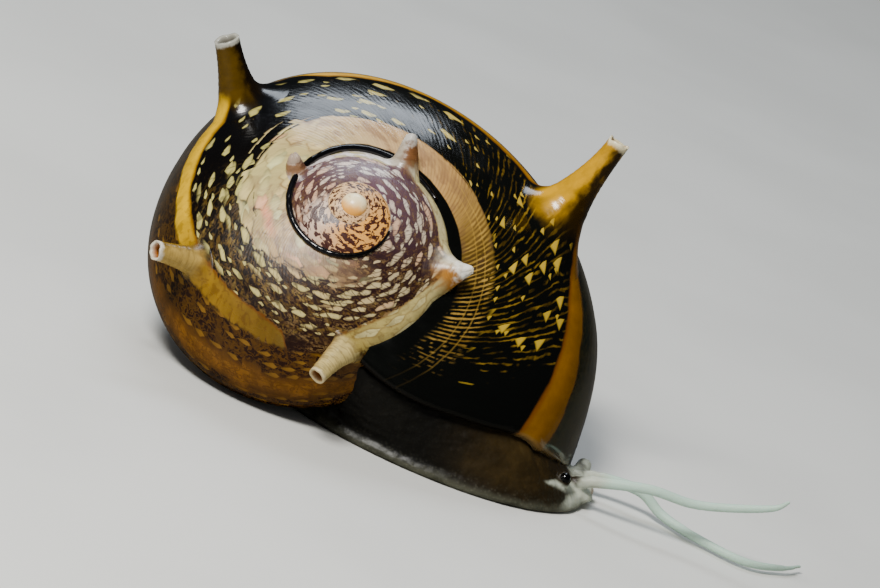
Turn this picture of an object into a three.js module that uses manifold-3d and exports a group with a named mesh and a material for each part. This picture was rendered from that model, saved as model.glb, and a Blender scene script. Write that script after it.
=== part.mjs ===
import * as THREE from 'three';
import { mergeVertices } from 'three/addons/utils/BufferGeometryUtils.js';
import Module from 'manifold-3d';

const wasm = await Module();
wasm.setup();

// Horned nerite snail, life size, in millimetres, +Z up. The head points along +X and the floor is at
// z = 0, with the origin on it under the middle of the shell.
const gap = 0.3;
const wholeTurn = 2 * Math.PI;
const fromDegrees = THREE.MathUtils.degToRad;
const { lerp } = THREE.MathUtils;

// The shell is a cone wound about a slanted axis: each whorl repeats the one before it, turned once
// and shrunk towards the apex. A turn counts whorls back from the lip.
const apex = new THREE.Vector3(-3, -4.5, 9.2);
const axisElevation = fromDegrees(46);
const lipAngle = fromDegrees(-17.45);
const lipRadius = 11.1;
const growthPerWhorl = 2.44;
const bodyTurns = 0.95;
const spireTurns = 2.6;
const bodyRings = 44;
const spireRings = 28;

const across = new THREE.Vector3(1, 0, 0);
const upward = new THREE.Vector3(0, Math.sin(axisElevation), Math.cos(axisElevation));
const axis = new THREE.Vector3(0, -Math.cos(axisElevation), Math.sin(axisElevation));

// A whorl's section, in units of the keel's radius: out from the axis, and up along it. The suture
// meets the keel of the whorl before it, and from half a turn back it climbs past that keel.
const lateSuture = new THREE.Vector2(0.405, -0.215);
const earlySuture = new THREE.Vector2(0.365, -0.175);
const sutureClimb = [0.42, 0.56];
const keel = new THREE.Vector2(1, -0.488);
const rampBulge = 0.04;
const rampSteps = 6;
const sideSteps = 10;
const columella = 0.12;
const sectionMiddle = new THREE.Vector2(0.5, -0.72);

// The keel stands out a little more just ahead of the second spine.
const keelSwell = { turn: 0.38, spread: 0.1, share: 0.04 };

// How far the side bulges past the keel, by turn.
const bulges = [[0, 0.14], [0.09, 0.18], [0.3, 0.2], [0.5, 0.105], [0.75, 0.31], [1, 0.12], [5, 0.12]];

// The lip leads the keel at the suture and trails it on the far side, where it runs near the floor.
const sutureLead = 0.135;
const leadPower = 1.25;
const farTrail = 0.142;
const apertureDepth = 0.035;
const shellFloorGap = 0.25;

// The deck that closes the shell's underside beside the aperture.
const deckMiddle = new THREE.Vector3(-3.2, 1.6, 4.9);
const deckRadii = new THREE.Vector3(6.2, 5.2, 2.9);

// The first whorls are a smooth knob on the spire's top.
const knobRadius = 0.95;
const knobHeight = 0.62;
const knobDepth = 1.0;
const spireCore = { topDepth: 0.5, bottomDepth: 5.2, topRadius: 0.2, bottomRadius: 0.65 };

// Hollow spines on the keel. Rise is the angle towards the apex, lean the reach back along the keel.
const spineRoot = 0.9;
const spines = [
  { turn: 0.155, length: 4.1, rise: 46, lean: 0.9, baseRadius: 1.6, tipRadius: 0.45, colour: 0xb07818 },
  { turn: 0.447, length: 2.7, rise: 45, lean: -0.26, baseRadius: 1.1, tipRadius: 0.5, colour: 0x7a5a20 },
  { turn: 0.647, length: 2.1, rise: 33, lean: -0.16, baseRadius: 0.95, tipRadius: 0.4, colour: 0xc9b080 },
  { turn: 0.857, length: 1.65, rise: 8, lean: -1.25, baseRadius: 1.0, tipRadius: 0.36, colour: 0xd8c79c },
  { turn: 1.042, length: 1.2, rise: 45, lean: 0.05, baseRadius: 0.85, tipRadius: 0.22, colour: 0xd8c79c },
  { turn: 1.243, length: 1.15, rise: 42, lean: 0.56, baseRadius: 0.6, tipRadius: 0.3, colour: 0xa8907a },
  { turn: 1.487, length: 0.7, rise: 60, lean: -0.1, baseRadius: 0.5, tipRadius: 0.3, colour: 0x9a8068 },
];

// Foot, mantle and head. Levels are heights with the outline's scale there.
const foot = {
  middle: new THREE.Vector2(3.0, -0.7),
  halfLength: 7.3,
  halfWidth: 5.0,
  egg: 0.1,
  levels: [[0, 0.96], [0.25, 1], [0.7, 0.97], [1.6, 0.9]],
};
const footHeight = 1.6;
const mantle = {
  middle: new THREE.Vector2(2.1, -1.1),
  halfLength: 5.7,
  halfWidth: 4.3,
  egg: 0,
  levels: [[1.6, 1], [3.6, 0.96]],
};
const headStart = 8.4;
const frontHeight = 0.75;
const head = {
  middle: new THREE.Vector2(8.8, -0.5),
  halfLength: 1.75,
  halfWidth: 2.1,
  egg: 0,
  levels: [[0, 0.9], [0.2, 1], [0.5, 0.95], [0.8, 0.75], [0.95, 0.4]],
};

// The operculum is a half round plate that the foot's tail carries under the shell.
const operculum = { middle: new THREE.Vector3(-2.6, 1.3, 1.45), length: 3.6, width: 3.6, thickness: 0.5 };

// Tentacles as paths from the head: the right one is held up, the left one rests along the floor.
const tentacleRadius = 0.27;
const tentacleSteps = 7;
const tentacleLengths = ['root', 'middle', 'tip'];
const tentacles = [
  { side: 'right', path: [[9.3, -1.3, 0.8], [10.5, -1.4, 1.35], [12.6, -1.3, 1.9], [14.7, -1.0, 2.0],
    [17.4, -0.8, 2.95], [18.1, -0.8, 3.6]] },
  { side: 'left', path: [[9.3, 0.5, 0.6], [10.8, 1.0, 0.9], [12.4, 1.1, 0.95], [13.6, 0.9, 0.42],
    [15.2, 0.2, 0.3], [17.4, -0.3, 0.3], [19.0, 0.9, 0.3], [19.8, 2.2, 0.3]] },
];
const eyeRadius = 0.28;
const stalkRadius = 0.42;
const eyes = [
  { side: 'right', stalkRoot: [8.9, -1.6, 0.45], middle: [9.15, -2.4, 1.28] },
  { side: 'left', stalkRoot: [9.7, 0.7, 0.5], middle: [9.85, 2.15, 0.8] },
];

const shellColour = 0x2a2013;
const spireColour = 0xb9a27c;
const fleshColour = 0x4a4638;
const mantleColour = 0x6a5a40;
const operculumColour = 0x8a7a66;
const tentacleColour = 0xb8cfc4;

function keelRadius(turn) {
  return lipRadius / growthPerWhorl ** turn;
}

function shellPoint(turn, r, z) {
  const radius = keelRadius(turn);
  const angle = lipAngle + wholeTurn * turn;
  const swell = 1 + keelSwell.share * Math.exp(-(((turn - keelSwell.turn) / keelSwell.spread) ** 2));
  return apex.clone()
    .addScaledVector(across, swell * radius * r * Math.cos(angle))
    .addScaledVector(upward, swell * radius * r * Math.sin(angle))
    .addScaledVector(axis, radius * z);
}

function sutureAt(turn) {
  const climb = THREE.MathUtils.smoothstep(turn, ...sutureClimb);
  return lateSuture.clone().lerp(earlySuture, climb);
}

// Growth-line lead down the side, by the share of the way from the keel to the axis.
function sideLead(share) {
  return farTrail * share * (1 - 2 * (1 - share) ** 6);
}

function bulgeAt(turn) {
  const next = bulges.findIndex(([end]) => end >= Math.max(turn, 0.001));
  const [start, before] = bulges[next - 1];
  const [end, after] = bulges[next];
  return lerp(before, after, THREE.MathUtils.smoothstep(turn, start, end));
}

function sideCurve(turn) {
  const bulge = bulgeAt(turn);
  return new THREE.SplineCurve([
    keel,
    new THREE.Vector2(1 + 0.5 * bulge, -0.64),
    new THREE.Vector2(1 + 0.95 * bulge, -0.85),
    new THREE.Vector2(1 + 0.8 * bulge, -1.06),
    new THREE.Vector2(0.74 + 0.6 * bulge, -1.23),
    new THREE.Vector2(0.42, -1.26),
    new THREE.Vector2(columella, -1.19),
  ]);
}

// One closed section, from the suture over the ramp to the keel, down the side and back to the axis.
function sectionAt(turn, clearance) {
  const outline = [];
  const leads = [];
  const suture = sutureAt(turn);
  const rampNormal = new THREE.Vector2(keel.x - suture.x, keel.y - suture.y).normalize();
  rampNormal.set(-rampNormal.y, rampNormal.x);
  for (let i = 0; i < rampSteps; i++) {
    const s = i / rampSteps;
    const lift = rampBulge * 4 * s * (1 - s);
    outline.push(suture.clone().lerp(keel, s).addScaledVector(rampNormal, lift));
    leads.push(-sutureLead * (1 - s) ** leadPower);
  }
  sideCurve(turn).getSpacedPoints(sideSteps).forEach((point, i) => {
    outline.push(point);
    leads.push(sideLead(i / sideSteps));
  });
  outline.push(new THREE.Vector2(columella, suture.y - 0.06));
  leads.push(-sutureLead);

  const growth = clearance / keelRadius(turn);
  return outline.map((point, i) => {
    const before = outline.at(i - 1);
    const after = outline[(i + 1) % outline.length];
    const along = after.clone().sub(before).normalize();
    const grown = new THREE.Vector2(point.x - along.y * growth, point.y + along.x * growth);
    return { r: Math.max(grown.x, columella / 2), z: grown.y, lead: leads[i] };
  });
}

// A closed skin over rings of equal count, with a middle point at each end.
function ringGeometry(rings, firstMiddle, lastMiddle) {
  const count = rings[0].length;
  const points = [...rings.flat(), firstMiddle, lastMiddle];
  const first = points.length - 2;
  const last = points.length - 1;
  const index = [];
  for (let i = 0; i + 1 < rings.length; i++) {
    for (let j = 0; j < count; j++) {
      const a = i * count + j;
      const b = i * count + (j + 1) % count;
      index.push(a, b, b + count, a, b + count, a + count);
    }
  }
  const lastRing = (rings.length - 1) * count;
  for (let j = 0; j < count; j++) {
    const next = (j + 1) % count;
    index.push(first, next, j);
    index.push(last, lastRing + j, lastRing + next);
  }
  const geometry = new THREE.BufferGeometry().setFromPoints(points);
  geometry.setIndex(index);
  return geometry;
}

function toSolid(geometry) {
  const bare = geometry.clone();
  bare.deleteAttribute('normal');
  bare.deleteAttribute('uv');
  const merged = mergeVertices(bare, 1e-5);
  return new wasm.Manifold(new wasm.Mesh({
    numProp: 3,
    vertProperties: merged.attributes.position.array,
    triVerts: new Uint32Array(merged.index.array),
  }));
}

function largestPiece(solid) {
  return solid.decompose().sort((a, b) => b.volume() - a.volume())[0];
}

function toGeometry(solid) {
  const { vertProperties, triVerts } = solid.getMesh();
  const geometry = new THREE.BufferGeometry();
  geometry.setAttribute('position', new THREE.BufferAttribute(vertProperties, 3));
  geometry.setIndex(new THREE.BufferAttribute(triVerts, 1));
  geometry.computeVertexNormals();
  return geometry;
}

function joined(solids) {
  return solids.reduce((sum, solid) => sum.add(solid));
}

function boxSolid(from, to) {
  const size = new THREE.Vector3().subVectors(to, from);
  const middle = new THREE.Vector3().addVectors(from, to).multiplyScalar(0.5);
  return toSolid(new THREE.BoxGeometry(size.x, size.y, size.z).translate(middle.x, middle.y, middle.z));
}

// Whorls are made in lengths of half a turn, so that none passes through itself, and joined.
function whorlSolid(from, to, ringsPerWhorl, clearance, firstDepth) {
  const steps = Math.ceil((to - from) * ringsPerWhorl);
  const turnAt = (i) => lerp(from, to, i / steps);
  const rings = Array.from({ length: steps + 1 }, (_, i) => sectionAt(turnAt(i), clearance).map(
    ({ r, z, lead }) => shellPoint(turnAt(i) + lead, r, z)));
  const middleAt = (turn) => shellPoint(turn, sectionMiddle.x, sectionMiddle.y);
  const stride = Math.ceil(ringsPerWhorl / 2);
  const solids = [];
  for (let start = 0; start < steps; start += stride) {
    const end = Math.min(start + stride + 1, steps);
    const firstMiddle = middleAt(turnAt(start) + (start === 0 ? firstDepth : 0));
    solids.push(toSolid(ringGeometry(rings.slice(start, end + 1), firstMiddle, middleAt(turnAt(end)))));
  }
  return joined(solids);
}

function alongAxis(geometry) {
  const basis = new THREE.Matrix4().makeBasis(across, axis, new THREE.Vector3().crossVectors(across, axis));
  return geometry.applyMatrix4(basis.setPosition(apex));
}

function axisCone({ topDepth, bottomDepth, topRadius, bottomRadius }) {
  const length = bottomDepth - topDepth;
  const cone = new THREE.CylinderGeometry(topRadius, bottomRadius, length, 16, 1);
  return toSolid(alongAxis(cone.translate(0, -(topDepth + bottomDepth) / 2, 0)));
}

function knobSolid(clearance) {
  const steps = 5;
  const profile = [new THREE.Vector2(0, -knobDepth - clearance)];
  for (let i = 0; i <= steps; i++) {
    const angle = (i / steps) * Math.PI / 2;
    const radius = i === steps ? 0 : (knobRadius + clearance) * Math.cos(angle);
    const height = (knobHeight + clearance) * Math.sin(angle) - knobDepth / 2;
    profile.push(new THREE.Vector2(radius, height));
  }
  return toSolid(alongAxis(new THREE.LatheGeometry(profile, 16)));
}

function ellipsoid(middle, radii, clearance, columns, rows) {
  const sphere = new THREE.SphereGeometry(1, columns, rows);
  const { x, y, z } = radii.clone().addScalar(clearance);
  return toSolid(sphere.scale(x, y, z).translate(...middle));
}

// A clearance at a whorl's end, as a share of a turn along the middle of its section.
function endLead(clearance, turn) {
  return clearance / (wholeTurn * keelRadius(turn) * sectionMiddle.length());
}

function bodyWhorlSolid(clearance) {
  const lead = endLead(clearance, 0);
  const whorl = whorlSolid(-lead, bodyTurns, bodyRings, clearance, apertureDepth);
  return whorl.add(ellipsoid(deckMiddle, deckRadii, clearance, 28, 14));
}

function spireSolid(clearance) {
  const lead = endLead(clearance, bodyTurns);
  const whorl = whorlSolid(bodyTurns + 0.01 - lead, spireTurns, spireRings, clearance, 0);
  return whorl.add(axisCone(spireCore));
}

// Flat-bottomed lobes of flesh: rings of one outline, scaled about its middle at each height.
function lobeSolid({ middle, halfLength, halfWidth, egg, levels }, clearance, columns) {
  const rings = levels.map(([height, scale]) => Array.from({ length: columns }, (_, i) => {
    const angle = (i / columns) * wholeTurn;
    const x = (halfLength * scale + clearance) * Math.cos(angle);
    const y = (halfWidth * scale + clearance) * Math.sin(angle) * (1 + egg * Math.cos(angle));
    return new THREE.Vector3(middle.x + x, middle.y + y, height === 0 ? -clearance : height + clearance);
  }));
  const middleAt = (ring) => new THREE.Vector3(middle.x, middle.y, ring[0].z);
  return toSolid(ringGeometry(rings, middleAt(rings[0]), middleAt(rings.at(-1))));
}

// A tapered tube along a path, from one share of its length to another.
function tubeSolid(path, from, to, radiusAt, steps, sides) {
  const rings = [];
  for (let i = 0; i <= steps; i++) {
    const share = lerp(from, to, i / steps);
    const centre = path.getPointAt(share);
    const along = path.getTangentAt(share);
    const side = new THREE.Vector3(0, 0, 1).cross(along).normalize();
    const top = along.clone().cross(side);
    const radius = radiusAt(share);
    rings.push(Array.from({ length: sides }, (_, j) => {
      const angle = (j / sides) * wholeTurn;
      return centre.clone()
        .addScaledVector(side, radius * Math.cos(angle))
        .addScaledVector(top, radius * Math.sin(angle));
    }));
  }
  return toSolid(ringGeometry(rings, path.getPointAt(from), path.getPointAt(to)));
}

function spineSolid({ turn, length, rise, lean, baseRadius, tipRadius }) {
  const angle = lipAngle + wholeTurn * turn;
  const outward = new THREE.Vector3()
    .addScaledVector(across, Math.cos(angle))
    .addScaledVector(upward, Math.sin(angle));
  const back = new THREE.Vector3()
    .addScaledVector(across, -Math.sin(angle))
    .addScaledVector(upward, Math.cos(angle));
  const tilt = fromDegrees(rise);
  const root = shellPoint(turn, keel.x, keel.y);
  const reach = outward.clone().multiplyScalar(length * Math.cos(tilt))
    .addScaledVector(axis, length * Math.sin(tilt))
    .addScaledVector(back, lean);
  const start = root.clone().addScaledVector(reach, -spineRoot / length);
  const path = new THREE.LineCurve3(start, root.clone().add(reach));
  const flare = (share) => lerp(tipRadius, baseRadius, (1 - share) ** 3);
  return tubeSolid(path, 0, 1, flare, 5, 12);
}

// Half of a round plate: its straight edge faces the head.
function operculumSolid(clearance) {
  const { middle, length, width, thickness } = operculum;
  const outline = new THREE.Shape();
  outline.moveTo(clearance, -width / 2 - clearance);
  outline.lineTo(clearance, width / 2 + clearance);
  outline.absellipse(0, 0, length + clearance, width / 2 + clearance, Math.PI / 2, 1.5 * Math.PI, false);
  const depth = thickness + 2 * clearance;
  const plate = new THREE.ExtrudeGeometry(outline, { depth, bevelEnabled: false, curveSegments: 16 });
  return toSolid(plate.translate(middle.x, middle.y, middle.z - depth / 2));
}

const above = (height) => boxSolid(new THREE.Vector3(-30, -30, height), new THREE.Vector3(30, 30, 30));
const below = (height) => boxSolid(new THREE.Vector3(-30, -30, -30), new THREE.Vector3(30, 30, height));
const ahead = (x) => boxSolid(new THREE.Vector3(x, -30, -30), new THREE.Vector3(30, 30, 30));
const behind = (x) => boxSolid(new THREE.Vector3(-30, -30, -30), new THREE.Vector3(x, 30, 30));

const snail = new THREE.Group();

function addPart(name, solid, color, roughness) {
  const material = new THREE.MeshStandardMaterial({ color, roughness, metalness: 0 });
  const mesh = new THREE.Mesh(toGeometry(largestPiece(solid)), material);
  mesh.name = name;
  snail.add(mesh);
}

const bodyCut = bodyWhorlSolid(gap);
const shellCut = bodyCut.add(spireSolid(gap));
addPart('shell_body_whorl', bodyWhorlSolid(0).subtract(below(shellFloorGap)), shellColour, 0.25);
addPart('shell_spire', spireSolid(0).subtract(bodyCut).subtract(knobSolid(gap)), spireColour, 0.3);
addPart('shell_apex', knobSolid(0), spireColour, 0.3);
spines.forEach((spine, i) => {
  addPart(`spine_${i + 1}`, spineSolid(spine).subtract(shellCut), spine.colour, 0.35);
});

const fleshCut = shellCut.add(operculumSolid(gap));
const footBody = lobeSolid(foot, 0, 48).subtract(fleshCut);
addPart('foot', footBody.subtract(ahead(headStart - gap)), fleshColour, 0.5);
const mantleBody = lobeSolid(mantle, 0, 40).subtract(below(footHeight + gap));
addPart('mantle', mantleBody.subtract(fleshCut), mantleColour, 0.5);
addPart('operculum', operculumSolid(0), operculumColour, 0.4);
const eyeSize = new THREE.Vector3().setScalar(eyeRadius);
const stalkSolids = eyes.map(({ stalkRoot, middle }) => {
  const path = new THREE.LineCurve3(new THREE.Vector3(...stalkRoot), new THREE.Vector3(...middle));
  return tubeSolid(path, 0, 1, (share) => lerp(stalkRadius, eyeRadius, share), 3, 10);
});
const eyeCuts = eyes.map(({ middle }) => ellipsoid(new THREE.Vector3(...middle), eyeSize, gap, 12, 8));
const front = lobeSolid(foot, 0, 48).subtract(above(frontHeight));
const headLobe = lobeSolid(head, 0, 32).add(front).subtract(behind(headStart));
const headBody = joined([headLobe, ...stalkSolids]).subtract(joined(eyeCuts));
addPart('head', headBody.subtract(shellCut), fleshColour, 0.5);
eyes.forEach(({ side, middle }) => {
  addPart(`eye_${side}`, ellipsoid(new THREE.Vector3(...middle), eyeSize, 0, 12, 8), 0x0a0a0a, 0.1);
});
const headCut = lobeSolid(head, gap, 32);

tentacles.forEach(({ side, path }) => {
  const curve = new THREE.CatmullRomCurve3(path.map((point) => new THREE.Vector3(...point)));
  const gapShare = gap / curve.getLength();
  const thickness = (share) => tentacleRadius * (1 - 0.6 * Math.max(0, share - 0.7) / 0.3);
  tentacleLengths.forEach((name, i) => {
    const from = i / tentacleLengths.length + (i > 0 ? gapShare : 0);
    const to = (i + 1) / tentacleLengths.length;
    const length = tubeSolid(curve, from, to, thickness, tentacleSteps, 8);
    addPart(`tentacle_${side}_${name}`, length.subtract(headCut).subtract(shellCut), tentacleColour, 0.4);
  });
});

export default snail;
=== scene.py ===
import math
import random

import bmesh
import bpy
from mathutils import Matrix, Vector, interpolate, noise
from mathutils.bvhtree import BVHTree


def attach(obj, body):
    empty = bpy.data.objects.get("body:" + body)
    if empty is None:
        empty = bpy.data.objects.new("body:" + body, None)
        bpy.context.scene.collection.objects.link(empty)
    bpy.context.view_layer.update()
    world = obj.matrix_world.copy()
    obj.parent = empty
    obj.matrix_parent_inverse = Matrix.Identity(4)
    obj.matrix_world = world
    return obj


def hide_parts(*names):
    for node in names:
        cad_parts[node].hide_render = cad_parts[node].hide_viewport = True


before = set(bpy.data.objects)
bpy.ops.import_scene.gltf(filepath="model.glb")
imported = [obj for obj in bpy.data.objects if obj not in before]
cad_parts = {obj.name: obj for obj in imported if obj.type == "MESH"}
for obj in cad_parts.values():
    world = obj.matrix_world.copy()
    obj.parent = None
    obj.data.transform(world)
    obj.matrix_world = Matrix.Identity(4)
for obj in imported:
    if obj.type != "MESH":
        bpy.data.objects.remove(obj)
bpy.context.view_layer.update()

mm = 0.001
wholeTurn = 2 * math.pi
mergeGap = 0.0005     # mm


# Small helpers for meshes

def lerp(a, b, share):
    return a + (b - a) * share


def smooth(value, low, high):
    share = min(max((value - low) / (high - low), 0), 1)
    return share * share * (3 - 2 * share)


def curveAt(points, value):
    # value on an eased line through (position, height) points
    for (start, low), (end, high) in zip(points, points[1:]):
        if value <= end:
            return lerp(low, high, smooth(value, start, end))
    return points[-1][1]


def splineAt(points, share):
    # Catmull-Rom point on a row of vectors
    place = share * (len(points) - 1)
    i = min(int(place), len(points) - 2)
    t = place - i
    p1, p2 = points[i], points[i + 1]
    p0 = points[i - 1] if i > 0 else p1 * 2 - p2
    p3 = points[i + 2] if i + 2 < len(points) else p2 * 2 - p1
    return 0.5 * (2 * p1 + (p2 - p0) * t + (2 * p0 - 5 * p1 + 4 * p2 - p3) * t * t
                  + (3 * p1 - p0 - 3 * p2 + p3) * t ** 3)


def uvLayer(bm, name):
    return bm.loops.layers.uv.get(name) or bm.loops.layers.uv.new(name)


def rollSheet(bm, rows, columns, place, coordinates=None):
    # a flat grid bent so that row i and column j land on place(i, j)
    made = bmesh.ops.create_grid(bm, x_segments=rows - 1, y_segments=columns - 1, size=0.5)["verts"]
    spot = {}
    for vert in made:
        i = round((vert.co.x + 0.5) * (rows - 1))
        j = round((vert.co.y + 0.5) * (columns - 1))
        spot[vert] = (i, j)
        vert.co = place(i, j)
    if coordinates:
        layers = {name: uvLayer(bm, name) for name in coordinates(0, 0)}
        for face in {face for vert in made for face in vert.link_faces}:
            for loop in face.loops:
                for name, uv in coordinates(*spot[loop.vert]).items():
                    loop[layers[name]].uv = uv
    return spot


def weld(bm):
    # closes seams and poles, and turns the faces outwards
    bmesh.ops.remove_doubles(bm, verts=bm.verts, dist=mergeGap)
    bmesh.ops.recalc_face_normals(bm, faces=bm.faces)


def addBall(bm, radii, middle, columns, turned=Matrix.Identity(4)):
    made = bmesh.ops.create_uvsphere(bm, u_segments=columns, v_segments=columns // 2, radius=1)["verts"]
    bmesh.ops.scale(bm, vec=radii, verts=made)
    bmesh.ops.transform(bm, matrix=turned, verts=made)
    bmesh.ops.translate(bm, vec=middle, verts=made)


def finishMesh(bm, name):
    # millimetres to metres, and a smooth-shaded object at the origin
    bmesh.ops.scale(bm, vec=(mm, mm, mm), verts=bm.verts)
    mesh = bpy.data.meshes.new(name)
    bm.to_mesh(mesh)
    bm.free()
    mesh.shade_smooth()
    piece = bpy.data.objects.new(name, mesh)
    bpy.context.scene.collection.objects.link(piece)
    return piece


def applyModifiers(piece):
    # the modifiers' result becomes the piece's own mesh
    depsgraph = bpy.context.evaluated_depsgraph_get()
    mesh = bpy.data.meshes.new_from_object(piece.evaluated_get(depsgraph))
    piece.modifiers.clear()
    piece.data = mesh
    mesh.shade_smooth()


def dress(piece, material, slot, *nodes):
    # the nodes are those of the CAD model that the piece stands for
    piece.data.materials.clear()
    piece.data.materials.append(material)
    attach(piece, "root")
    if nodes:
        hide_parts(*nodes)


# Camera: the photograph's view, low over the floor and rolled with the snail

view = {
    "elevation": 15.25,
    "roll": 22.6,
    "distance": 200,         # mm from the apex
    "frameWidth": 35.2,      # mm seen at that distance
    "middle": (3.388, 3.688),        # of the frame, right of and below the apex
    "sensorWidth": 36,
}
apexPoint = Vector((-3, -4.5, 9.2))


def placeCamera():
    elevation = math.radians(view["elevation"])
    roll = math.radians(view["roll"])
    back = Vector((0, -math.cos(elevation), math.sin(elevation)))
    rise = Vector((0, math.sin(elevation), math.cos(elevation)))
    right = Vector((math.cos(roll), 0, 0)) + rise * math.sin(roll)
    up = Vector((-math.sin(roll), 0, 0)) + rise * math.cos(roll)
    aside, below = view["middle"]
    place = apexPoint + right * aside - up * below + back * view["distance"]
    data = bpy.data.cameras.new("camera")
    data.sensor_width = view["sensorWidth"]
    data.lens = view["sensorWidth"] * view["distance"] / view["frameWidth"]
    data.clip_start = 0.01
    data.clip_end = 10
    camera = bpy.data.objects.new("camera", data)
    turned = Matrix((right, up, back)).transposed().to_4x4()
    camera.matrix_world = Matrix.Translation(place * mm) @ turned
    bpy.context.scene.collection.objects.link(camera)
    bpy.context.scene.camera = camera


placeCamera()
print("camera placed")


# Shell: a conical spiral. Turns count whorls back from the lip, and shares run from the
# suture (0) over the ramp to the keel (1), then down the side to the axis (2).

shell = {
    "axisElevation": 46,
    "lipAngle": -17.45,
    "lipRadius": 11.1,
    "growth": 2.44,
    "turns": 3.4,
    "ringsPerTurn": 150,
    "rampSteps": 26,
    "sideSteps": 26,
    "lateSuture": Vector((0.405, -0.215)),
    "earlySuture": Vector((0.365, -0.175)),
    "sutureClimb": (0.42, 0.56),
    "keel": Vector((1, -0.488)),
    "rampBulge": 0.04,
    "columella": Vector((0.12, -1.19)),
    "middle": Vector((0.5, -0.72)),
    # points down the side as (out, further out by the bulge, rise), and the bulge by turn
    "sidePoints": [(1, 0.5, -0.64), (1, 0.95, -0.85), (1, 0.8, -1.06), (0.74, 0.6, -1.23), (0.42, 0, -1.26)],
    "bulges": ((0, 0.14), (0.09, 0.18), (0.3, 0.2), (0.5, 0.105), (0.75, 0.31), (1, 0.12), (5, 0.12)),
    "keelSwell": (0.38, 0.1, 0.04),
    "sutureLead": 0.135,
    "leadPower": 1.25,
    "farTrail": 0.142,
    "lipBend": ((0, 0), (0.5, 0), (0.8, -0.0038), (0.92, -0.0066), (1, -0.009), (1.02, -0.005),
                (1.05, 0.001), (1.1, 0.005), (1.15, 0.005), (1.2, 0.0024), (1.3, -0.0045), (1.45, 0),
                (5, 0)),
    "meanReach": 0.7,
    "arcLengths": (0.66, 1.9),       # of the ramp and the side in keel radii, near enough for marks
    "keelRounding": 3,
    "keelWidth": 0.09,       # the shares each way that are rounded
    "splineSteps": 120,
    "sidePacking": 1.15,     # the side's points lie closer together near the keel
    "floorGap": 0.25,
    # (turn, depth in mm inside the wall), from deep in the mouth out to the lip
    "mouthRings": [(0.075, 1.2), (0.05, 0.9), (0.02, 0.55), (0.004, 0.32), (-0.003, 0.16)],
}

tilt = math.radians(shell["axisElevation"])
across = Vector((1, 0, 0))
upward = Vector((0, math.sin(tilt), math.cos(tilt)))
axis = Vector((0, -math.cos(tilt), math.sin(tilt)))


def keelRadius(turn):
    return shell["lipRadius"] / shell["growth"] ** turn


def turnAngle(turn):
    return math.radians(shell["lipAngle"]) + wholeTurn * turn


def shellPoint(turn, out, rise):
    radius = keelRadius(turn)
    angle = turnAngle(turn)
    place, spread, share = shell["keelSwell"]
    swell = 1 + share * math.exp(-((turn - place) / spread) ** 2)
    return (apexPoint + across * (swell * radius * out * math.cos(angle))
            + upward * (swell * radius * out * math.sin(angle)) + axis * (radius * rise))


def rampPoint(turn, share):
    suture = shell["lateSuture"].lerp(shell["earlySuture"], smooth(turn, *shell["sutureClimb"]))
    keel = shell["keel"]
    outward = (keel - suture).normalized()
    normal = Vector((-outward.y, outward.x))
    lift = shell["rampBulge"] * 4 * share * (1 - share)
    return suture.lerp(keel, share) + normal * lift


def sideSpline(turn):
    # points down the side, evenly spaced along the curve
    bulge = curveAt(shell["bulges"], max(turn, 0.001))
    points = [Vector((out + further * bulge, rise)) for out, further, rise in shell["sidePoints"]]
    points = [shell["keel"]] + points + [shell["columella"]]
    steps = shell["splineSteps"]
    fine = [splineAt(points, i / steps) for i in range(steps + 1)]
    lengths = [0]
    for a, b in zip(fine, fine[1:]):
        lengths.append(lengths[-1] + (b - a).length)
    even = []
    i = 0
    for k in range(shell["sideSteps"] + 1):
        target = lengths[-1] * (k / shell["sideSteps"]) ** shell["sidePacking"]
        while i < len(fine) - 2 and lengths[i + 1] < target:
            i += 1
        even.append(fine[i].lerp(fine[i + 1], (target - lengths[i]) / (lengths[i + 1] - lengths[i])))
    return even


def rampLead(share):
    # how many turns the growth line leads by here
    return -shell["sutureLead"] * (1 - share) ** shell["leadPower"]


def sectionAt(turn):
    # (place in the section, lead of the growth line, share) from the suture round to the suture again
    rows = []
    for i in range(shell["rampSteps"]):
        share = i / shell["rampSteps"]
        lead = rampLead(share) + curveAt(shell["lipBend"], share)
        rows.append((rampPoint(turn, share), lead, share))
    for k, place in enumerate(sideSpline(turn)):
        down = (k / shell["sideSteps"]) ** shell["sidePacking"]
        lead = shell["farTrail"] * down * (1 - 2 * (1 - down) ** 6) + curveAt(shell["lipBend"], 1 + down)
        rows.append((place, lead, 1 + down))
    suture = rows[0][0]
    inner = Vector((shell["columella"].x, suture.y - 0.06))
    foot, lead, _ = rows[-1]
    rows.append((foot.lerp(inner, 0.5), lerp(lead, -shell["sutureLead"], 0.5), 2.5))
    rows.append((inner, -shell["sutureLead"], 3))
    rows.append((suture, -shell["sutureLead"], 4))
    return rows


def arcShare(share):
    ramp, side = shell["arcLengths"]
    return ramp * min(share, 1) + side * max(share - 1, 0)


def ringPoint(turn, inset, row):
    # a point of the growth line at this turn, moved by inset mm into the whorl
    point, lead, share = row
    inward = (shell["middle"] - point).normalized() * inset / keelRadius(turn)
    return shellPoint(turn + lead, point.x + inward.x, point.y + inward.y)


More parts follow.
